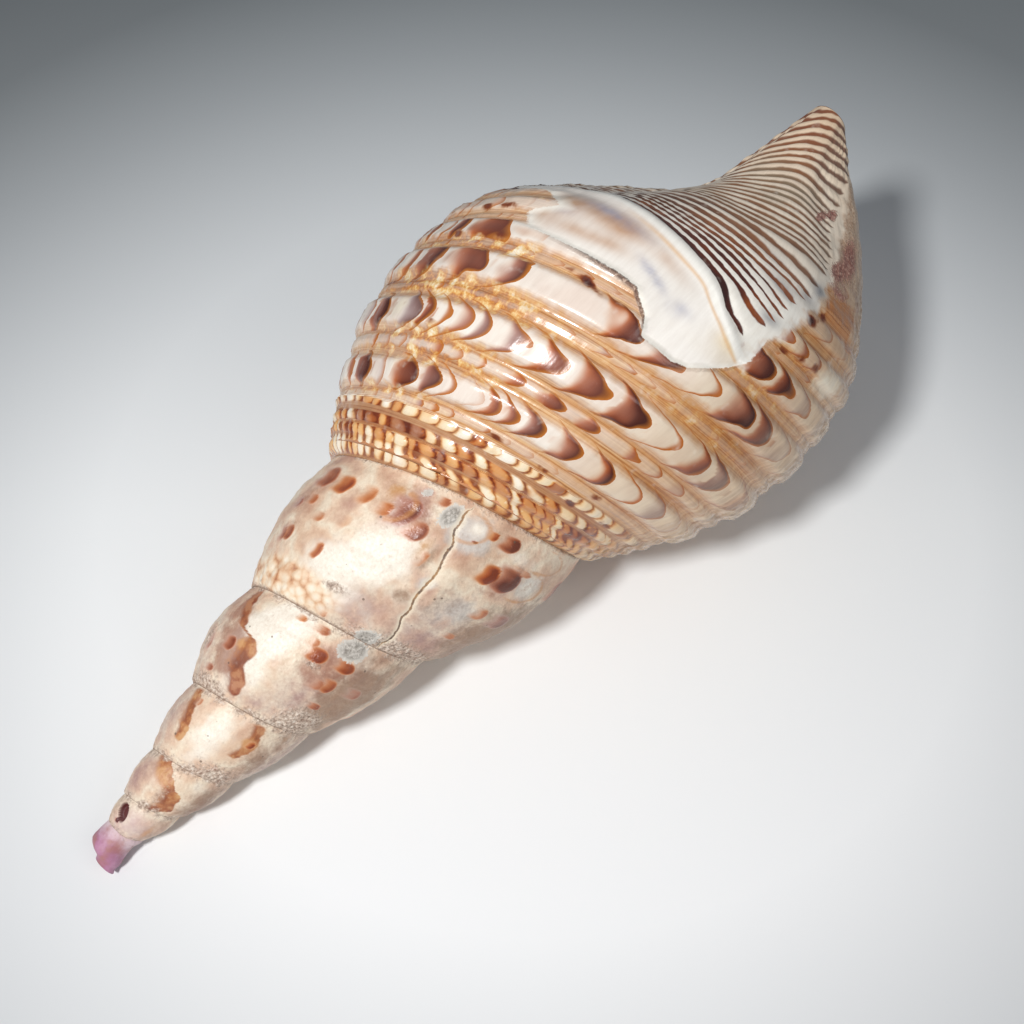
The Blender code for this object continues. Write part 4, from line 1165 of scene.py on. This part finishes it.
    # the white callus laid over the bands, with its dark broken edge
    toothed = uneven(put, fine, 1.6, field["glaze"])
    glazed = put("MapRange", toothed, -0.35, 0.25, 0.0, 1.0, **softly)
    notStripe = put("Math", neckShare, put("MapRange", field["stripe"], -0.55, -0.3, 0.0, 1.0),
                    operation="MULTIPLY")
    glazed = put("Math", glazed, put("Math", 1.0, notStripe, operation="SUBTRACT"), operation="MULTIPLY")
    clouds = put("Math", put("MapRange", broad, 0.35, 0.65, 0.5, 1.5), field["cloud"], operation="MULTIPLY",
                 use_clamp=True)
    callus = put("Mix", clouds, "#F3EDE4", "#C8A284", **asColour)
    bluish = put("Math", put("MapRange", wobble, 0.3, 0.7, 0.5, 1.2), field["violet"], operation="MULTIPLY",
                 use_clamp=True)
    callus = put("Mix", put("Math", bluish, 0.75, operation="MULTIPLY"), callus, "#9A9BB0", **asColour)
    ochre = put("Math", field["gold"], 0.8, operation="MULTIPLY", use_clamp=True)
    callus = put("Mix", ochre, callus, "#D9B877", **asColour)
    rimBand = put("Math", field["stripe"], 1.72, operation="ADD")
    rimBand = put("MapRange", put("Math", rimBand, operation="ABSOLUTE"), 0.0, 0.28, 0.75, 0.0)
    rimBand = put("Math", rimBand, put("MapRange", field["turn"], -208.0, -192.0, 0.0, 1.0),
                  operation="MULTIPLY")
    callus = put("Mix", rimBand, callus, "#E2B98A", **asColour)
    besideRim = put("MapRange", field["glaze"], 0.6, 3.2, 0.85, 0.0)
    callus = put("Mix", besideRim, callus, "#FBF6EA", **asColour)
    ridge = put("MapRange", field["stripe"], -1.55, -1.25, 0.0, 1.0)
    callus = put("Mix", ridge, callus, "#F8F5EC", **asColour)
    colour = put("Mix", glazed, banded, callus, **asColour)
    besideEdge = put("Math", put("Math", toothed, 0.9, operation="ADD"), operation="ABSOLUTE")
    broken = put("MapRange", besideEdge, 0.5, 1.2, 1.0, 0.0)
    broken = put("Math", broken, field["glazeLine"], operation="MULTIPLY")
    broken = put("Math", broken, put("Math", 1.0, notStripe, operation="SUBTRACT"), operation="MULTIPLY")
    grit = put("ValToRGB", fine, stops=((0.35, "#5C4336"), (0.52, "#8E6F5E"), (0.66, "#C9B09C")))
    colour = put("Mix", broken, colour, grit, **asColour)
    crusted = uneven(put, fine, 1.4, field["crust"])
    crustShare = put("MapRange", crusted, 0.35, 0.6, 0.0, 0.9)
    crustColour = put("ValToRGB", fine, stops=((0.35, "#74423A"), (0.5, "#9E6458"), (0.68, "#CDA592")))
    colour = put("Mix", crustShare, colour, crustColour, **asColour)
    shade = put("Mix", put("MapRange", growthLine, 0.35, 0.65, 0.0, 0.10), "#FFFFFF", "#9A7A62", **asColour)
    colour = put("Mix", 1.0, colour, shade, **asColour, blend_type="MULTIPLY")

    dull = put("MapRange", field["row"], 1.15, 1.6, 0.20, 0.46)
    rough = put("Math", fine, 0.10, dull, operation="MULTIPLY_ADD")
    rough = put("Mix", crustShare, rough, 0.85)
    rough = put("Mix", broken, rough, 0.8)
    grainy = put("Math", growthLine, 1.2, put("Math", fine, 0.5, operation="MULTIPLY"),
                 operation="MULTIPLY_ADD")
    grainy = put("Math", goldShare, put("Math", wobble, 1.5, operation="MULTIPLY"), grainy,
                 operation="MULTIPLY_ADD")
    height = put("Math", grainy, put("Math", put("Math", crustShare, broken, operation="MAXIMUM"), 3.0, 0.35,
                                     operation="MULTIPLY_ADD"), operation="MULTIPLY")
    coat = {"IOR": 1.55, "Coat Weight": 0.35, "Coat Roughness": 0.08}
    return finishMaterial(material, colour, rough, height, 0.5, 0.0003, coat)


def chalkyShell():
    # The spire's aragonite, worn by the sea: matt and chalky, stained in soft red-brown
    # spots, with grey-brown grit of old crust along the sutures.
    material, tree = newMaterial("chalky aragonite")
    put = partial(addNode, tree)
    names = ("spot", "tone", "white", "mauve", "grit", "crack", "hole", "tip", "beads", "scab", "arc",
             "pearl", "shade", "rust", "amber", "run", "runTone", "row")
    field = {name: put("Attribute", attribute_name=name, out="Fac") for name in names}
    point = put("TexCoord", out="Object")
    broad = put("TexNoise", point, 60.0, 3.0, 0.55)            # clouds of 17 mm
    slow = put("TexNoise", point, 170.0, 1.0, 0.4)             # 6 mm waves, without detail
    wobble = put("TexNoise", point, 250.0, 3.0, 0.55)          # 4 mm waves
    fine = put("TexNoise", point, 1000.0, 3.0, 0.65)           # 1 mm mottling
    grains = put("TexVoronoi", point, 900.0, out="Distance")   # sand grains of 1.1 mm
    growthMap = put("UVMap", uv_map="growth")
    grown = put("Mapping", growthMap, None, None, (200.0, 6.0, 1.0))
    growthLine = put("TexNoise", grown, 1.0, 3.0, 0.6)

    ground = put("ValToRGB", broad, stops=(
        (0.3, "#CCA48A"), (0.42, "#E4C6AA"), (0.52, "#F0E1C9"), (0.6, "#E7C9AE"), (0.72, "#C49C88")))
    mauve = put("Math", put("MapRange", wobble, 0.3, 0.7, 0.4, 1.2), field["mauve"], operation="MULTIPLY",
                use_clamp=True)
    ground = put("Mix", put("Math", mauve, 0.85, operation="MULTIPLY"), ground, "#AF8E8A", **asColour)
    whiter = uneven(put, wobble, 1.0, field["white"])
    whiteShare = put("MapRange", whiter, 0.15, 0.95, 0.0, 1.0, **softly)
    # the shade tint paints shade onto the ground; pearl, rust and amber are the shell's own colours
    for name, code, most in (("pearl", "#D3D0CA", 0.8), ("shade", "#9A7A62", 0.8), ("rust", "#A06A54", 0.75),
                             ("amber", "#CB9352", 0.85)):
        tinted = uneven(put, wobble, 1.3, field[name])
        tintShare = put("MapRange", tinted, 0.2, 1.0, 0.0, most, **softly)
        ground = put("Mix", tintShare, ground, code, **asColour)
        if name == "pearl":
            ground = put("Mix", whiteShare, ground, "#F7EFE0", **asColour)
    mottle = put("Mix", put("MapRange", fine, 0.3, 0.7, 0.0, 0.28), "#FFFFFF", "#B99882", **asColour)
    ground = put("Mix", 1.0, ground, mottle, **asColour, blend_type="MULTIPLY")

    runEdge = uneven(put, wobble, 0.9, field["run"])
    runShare = put("MapRange", runEdge, 0.1, 0.8, 0.0, 0.95, **softly)
    runWarm = put("ValToRGB", wobble, stops=((0.38, "#904C28"), (0.5, "#B27040"), (0.62, "#CC9866")))
    runCold = put("ValToRGB", wobble, stops=((0.38, "#662616"), (0.5, "#863C24"), (0.62, "#AA6A4C")))
    runColour = put("Mix", field["runTone"], runWarm, runCold, **asColour)
    ground = put("Mix", runShare, ground, runColour, **asColour)

    edge = put("Math", put("Math", slow, 1.0, 0.5, operation="MULTIPLY_ADD"), field["spot"],
               operation="MULTIPLY")
    spotShare = put("MapRange", edge, 0.08, 0.62, 0.0, 0.96, **softly)
    warm = put("ValToRGB", edge,
               stops=((0.2, "#E0AE84"), (0.5, "#CA7C44"), (0.8, "#A54C1E"), (1.0, "#7C2F14")))
    cold = put("ValToRGB", edge,
               stops=((0.2, "#D2B0A6"), (0.5, "#AA6E5A"), (0.8, "#703626"), (1.0, "#4A1D13")))
    spots = put("Mix", field["tone"], warm, cold, **asColour)
    colour = put("Mix", spotShare, ground, spots, **asColour)

    gritEdge = uneven(put, fine, 1.5, field["grit"])
    gritShare = put("MapRange", gritEdge, 0.25, 0.8, 0.0, 0.85)
    specks = put("TexNoise", point, 1050.0, 2.0, 0.6)          # sand in the crust, 1 mm
    gritColour = put("ValToRGB", specks, stops=(
        (0.34, "#8C7264"), (0.44, "#B09A8A"), (0.52, "#C8B3A2"), (0.6, "#DAC8B8"), (0.68, "#ECE0D2")))
    lumps = put("TexVoronoi", point, 330.0, out="Distance")    # worn beads of 3 mm
    knob = uneven(put, wobble, 0.9, lumps)
    knobColour = put("ValToRGB", knob, stops=(
        (0.15, "#F8ECD8"), (0.45, "#F0D9BC"), (0.68, "#E2BC98"), (0.85, "#CC9870"), (1.0, "#AC7252")))
    colour = put("Mix", put("MapRange", field["beads"], 0.25, 0.6, 0.0, 0.9), colour, knobColour, **asColour)
    colour = put("Mix", gritShare, colour, gritColour, **asColour)

    scabEdge = uneven(put, fine, 1.2, field["scab"])
    scabShare = put("MapRange", scabEdge, 0.5, 0.7, 0.0, 0.95)
    scabColour = put("ValToRGB", fine, stops=(
        (0.36, "#88827A"), (0.48, "#ABA59C"), (0.6, "#C8C2B9"), (0.7, "#DAD5CC")))
    scabRim = put("MapRange", scabEdge, 0.75, 1.1, 0.7, 0.0)
    scabColour = put("Mix", scabRim, scabColour, "#DDD8CE", **asColour)
    colour = put("Mix", scabShare, colour, scabColour, **asColour)
    sewnLine = put("Math", put("Math", fine, 0.02, operation="MULTIPLY"), field["row"], operation="ADD")
    sewnLine = put("MapRange", sewnLine, 0.014, 0.026, 0.75, 0.0)
    colour = put("Mix", sewnLine, colour, "#7E6350", **asColour)
    arcShare = put("MapRange", uneven(put, wobble, 2.0, field["arc"]), 0.2, 1.3, 0.6, 0.0)
    colour = put("Mix", arcShare, colour, "#C98A50", **asColour)

    away = put("Math", uneven(put, fine, 0.9, field["crack"]), operation="ABSOLUTE")
    beside = put("MapRange", away, 0.5, 1.8, 0.65, 0.0)
    colour = put("Mix", beside, colour, "#F6E8CE", **asColour)
    crackShare = put("MapRange", away, 0.22, 0.5, 0.9, 0.0)
    crackColour = put("Mix", put("MapRange", wobble, 0.4, 0.6, 0.0, 1.0), "#5E4434", "#A97A48", **asColour)
    colour = put("Mix", crackShare, colour, crackColour, **asColour)
    speck = put("MapRange", put("TexVoronoi", point, 150.0, out="Distance"), 0.05, 0.07, 0.75, 0.0)
    colour = put("Mix", speck, colour, "#6A5648", **asColour)
    tip = put("Math", field["tip"], put("MapRange", wobble, 0.3, 0.6, 0.6, 1.1), operation="MULTIPLY",
              use_clamp=True)
    lilac = put("Mix", put("MapRange", wobble, 0.3, 0.7, 0.0, 1.0), "#9C6080", "#BE8AA4", **asColour)
    paler = uneven(put, wobble, 0.5, field["row"])
    lilac = put("Mix", put("MapRange", paler, -0.32, 0.0, 0.0, 0.8), lilac, "#DAC4C4", **asColour)
    lilac = put("Mix", put("MapRange", field["row"], -1.0, -0.80, 0.8, 0.0), lilac, "#D8C6C6", **asColour)
    colour = put("Mix", tip, colour, lilac, **asColour)
    # painted shade: the small hole by the apex is only a shallow dent, painted dark brown for the shade
    # inside it, as is a smaller spot next to it
    paintedHoleShade = put("MapRange", field["hole"], 1.0, 1.4, 1.0, 0.0)
    colour = put("Mix", paintedHoleShade, colour, "#5A2826", **asColour)

    rough = put("Mix", spotShare, put("Math", fine, 0.25, 0.34, operation="MULTIPLY_ADD"), 0.3)
    rough = put("Mix", gritShare, rough, 0.85)
    relief = put("Math", put("Math", growthLine, 0.4, fine, operation="MULTIPLY_ADD"),
                 put("Math", gritShare, 2.0, 0.7, operation="MULTIPLY_ADD"), operation="MULTIPLY")
    relief = put("Math", put("Math", grains, gritShare, operation="MULTIPLY"), -1.5, relief,
                 operation="MULTIPLY_ADD")
    return finishMaterial(material, colour, rough, relief, 0.6, 0.0004, {"IOR": 1.5})


def mouthGlaze():
    # The mouth's lining: a polished orange glaze like enamel, with white teeth and folds
    # on chocolate-brown bars near the lip.
    material, tree = newMaterial("polished orange glaze")
    put = partial(addNode, tree)
    names = ("turn", "row", "onWall", "tooth", "bar", "stripe")
    field = {name: put("Attribute", attribute_name=name, out="Fac") for name in names}
    point = put("TexCoord", out="Object")
    wobble = put("TexNoise", point, 150.0, 3.0, 0.55)          # 7 mm clouds
    fine = put("TexNoise", point, 800.0, 2.0, 0.5)
    depth = put("Math", put("Math", wobble, 14.0, -7.0, operation="MULTIPLY_ADD"), field["turn"],
                operation="SUBTRACT")
    share = put("MapRange", depth, 0.0, 120.0, 0.0, 1.0)
    ground = put("ValToRGB", share, stops=(
        (0.0, "#F0D3AE"), (0.1, "#E8AE74"), (0.3, "#DC8B4A"), (0.6, "#CF7B43"), (1.0, "#C98A5E")))
    barEdge = uneven(put, wobble, 0.8, field["bar"])
    colour = put("Mix", put("MapRange", barEdge, 0.4, 0.6, 0.0, 1.0), ground, "#57280F", **asColour)
    colour = put("Mix", put("MapRange", field["tooth"], 0.15, 0.4, 0.0, 1.0), colour, "#F6EBDC", **asColour)
    onWall = put("MapRange", field["onWall"], 0.45, 0.55, 0.0, 1.0)
    line = put("Math", put("Math", put("Math", wobble, 0.3, field["stripe"], operation="MULTIPLY_ADD"), 0.35,
               operation="ADD"), operation="FRACT")
    line = put("Math", put("Math", line, 0.5, operation="SUBTRACT"), operation="ABSOLUTE")
    brownLine = put("MapRange", line, 0.20, 0.27, 1.0, 0.0)
    folded = put("Mix", brownLine, "#F3E6D4", "#4E2413", **asColour)
    foldShare = put("MapRange", depth, 24.0, 40.0, 1.0, 0.0)
    foldShare = put("Math", put("Math", foldShare, onWall, operation="MULTIPLY"),
                    put("MapRange", field["row"], 1.08, 1.14, 0.0, 1.0), operation="MULTIPLY")
    colour = put("Mix", foldShare, colour, folded, **asColour)
    rough = put("Math", fine, 0.1, 0.16, operation="MULTIPLY_ADD")
    coat = {"IOR": 1.55, "Coat Weight": 0.4, "Coat Roughness": 0.06}
    return finishMaterial(material, colour, rough, fine, 0.25, 0.0002, coat)


stageForm = {
    "floorSize": 6.0,
    "floorRun": (0.69, 0.725, 0.0),            # the way in which the floor's tones run
    "floorDrop": 0.0002,       # keeps the floor's face off the shell's flat spots
    "sky": "#F2F6FF",
    "eye": (-0.15219, -0.1689, 0.38857),
    "back": (-0.3703, -0.3899, 0.8431),
    "lens": 44.02,
    "ambient": 0.22,
    "key": {"from": (-0.583, -0.072, 0.809), "aim": (0.0, -0.01, 0.03), "distance": 1.1, "size": 0.08,
            "watts": 41, "cone": 58},
    "fill": {"from": (0.2, -1.0, 1.0), "aim": (0, 0, 0.05), "distance": 1.6, "size": 0.9, "watts": 3.2},
    # painted shade on the floor: its tones from near to far, over metres from the middle
    "paintedFloorShade": ((-0.30, "#F0F2F2"), (-0.12, "#F8F9F9"), (0.02, "#F2F4F4"), (0.12, "#E4E7E8"),
                   (0.32, "#CBD0D2")),
    # painted shade: the floor's colour darkens with distance from the middle point that follows
    "paintedFalloff": ((0.05, "#FFFFFF"), (0.16, "#F6F6F6"), (0.26, "#CCCDCE"), (0.34, "#A8AAAB")),
    "paintedFalloffMiddle": (0.03, 0.01, 0.0),
}


def paperSweep():
    # Matt seamless paper with painted shade: its colour darkens towards the back and away from a middle
    # point, in place of the light's falloff.
    material, tree = newMaterial("matt seamless paper")
    put = partial(addNode, tree)
    tones = stageForm["paintedFloorShade"]
    first, last = tones[0][0], tones[-1][0]
    point = put("TexCoord", out="Object")
    inward = put("VectorMath", point, stageForm["floorRun"], operation="DOT_PRODUCT", out="Value")
    share = put("MapRange", inward, first, last, 0.0, 1.0)
    tone = put("ValToRGB", share, stops=[((at - first) / (last - first), code) for at, code in tones])
    # painted shade: darker with distance from the middle point
    apart = put("VectorMath", point, stageForm["paintedFalloffMiddle"], operation="DISTANCE", out="Value")
    corner = put("ValToRGB", apart, stops=stageForm["paintedFalloff"])
    tone = put("Mix", 1.0, tone, corner, **asColour, blend_type="MULTIPLY")
    surface = tree.nodes["Principled BSDF"].inputs
    tree.links.new(tone, surface["Base Color"])
    surface["Roughness"].default_value = 0.9
    surface["Specular IOR Level"].default_value = 0.1
    return material


print("building the shell along its growth spiral")
lastWhorl = buildBody((glazedShell(), mouthGlaze()))
spire = buildSpire((chalkyShell(),))
for piece in (lastWhorl, spire):
    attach(piece, "root")
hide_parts("triton_shell")

def buildStage():
    bm = bmesh.new()
    bmesh.ops.create_grid(bm, x_segments=1, y_segments=1, size=stageForm["floorSize"] / 2)
    mesh = bpy.data.meshes.new("floor")
    bm.to_mesh(mesh)
    bm.free()
    floor = bpy.data.objects.new("floor", mesh)
    floor.location.z = -stageForm["floorDrop"]
    bpy.context.scene.collection.objects.link(floor)
    floor.data.materials.append(paperSweep())

    cameraData = bpy.data.cameras.new("camera")
    cameraData.lens = stageForm["lens"]
    camera = bpy.data.objects.new("camera", cameraData)
    camera.location = stageForm["eye"]
    camera.rotation_mode = "QUATERNION"
    camera.rotation_quaternion = Vector(stageForm["back"]).to_track_quat("Z", "Y")
    bpy.context.scene.collection.objects.link(camera)
    bpy.context.scene.camera = camera

    world = bpy.data.worlds.new("studio")
    world.use_nodes = True
    world.node_tree.nodes["Background"].inputs["Color"].default_value = paint(stageForm["sky"])
    world.node_tree.nodes["Background"].inputs["Strength"].default_value = stageForm["ambient"]
    bpy.context.scene.world = world
    bpy.context.scene.view_settings.view_transform = "Standard"
    for name, kind in (("key", "SPOT"), ("fill", "AREA")):
        form = stageForm[name]
        light = bpy.data.lights.new(name, kind)
        light.energy = form["watts"]
        if kind == "SPOT":
            light.shadow_soft_size = form["size"]
            light.spot_size = math.radians(form["cone"])
            light.spot_blend = 1.0
        else:
            light.shape = "DISK"
            light.size = form["size"]
        lamp = bpy.data.objects.new(name, light)
        lamp.rotation_mode = "QUATERNION"
        lamp.location = Vector(form["aim"]) + Vector(form["from"]).normalized() * form["distance"]
        lamp.rotation_quaternion = Vector(form["from"]).to_track_quat("Z", "Y")
        bpy.context.scene.collection.objects.link(lamp)


print("laying the floor and setting the camera and lights")
buildStage()
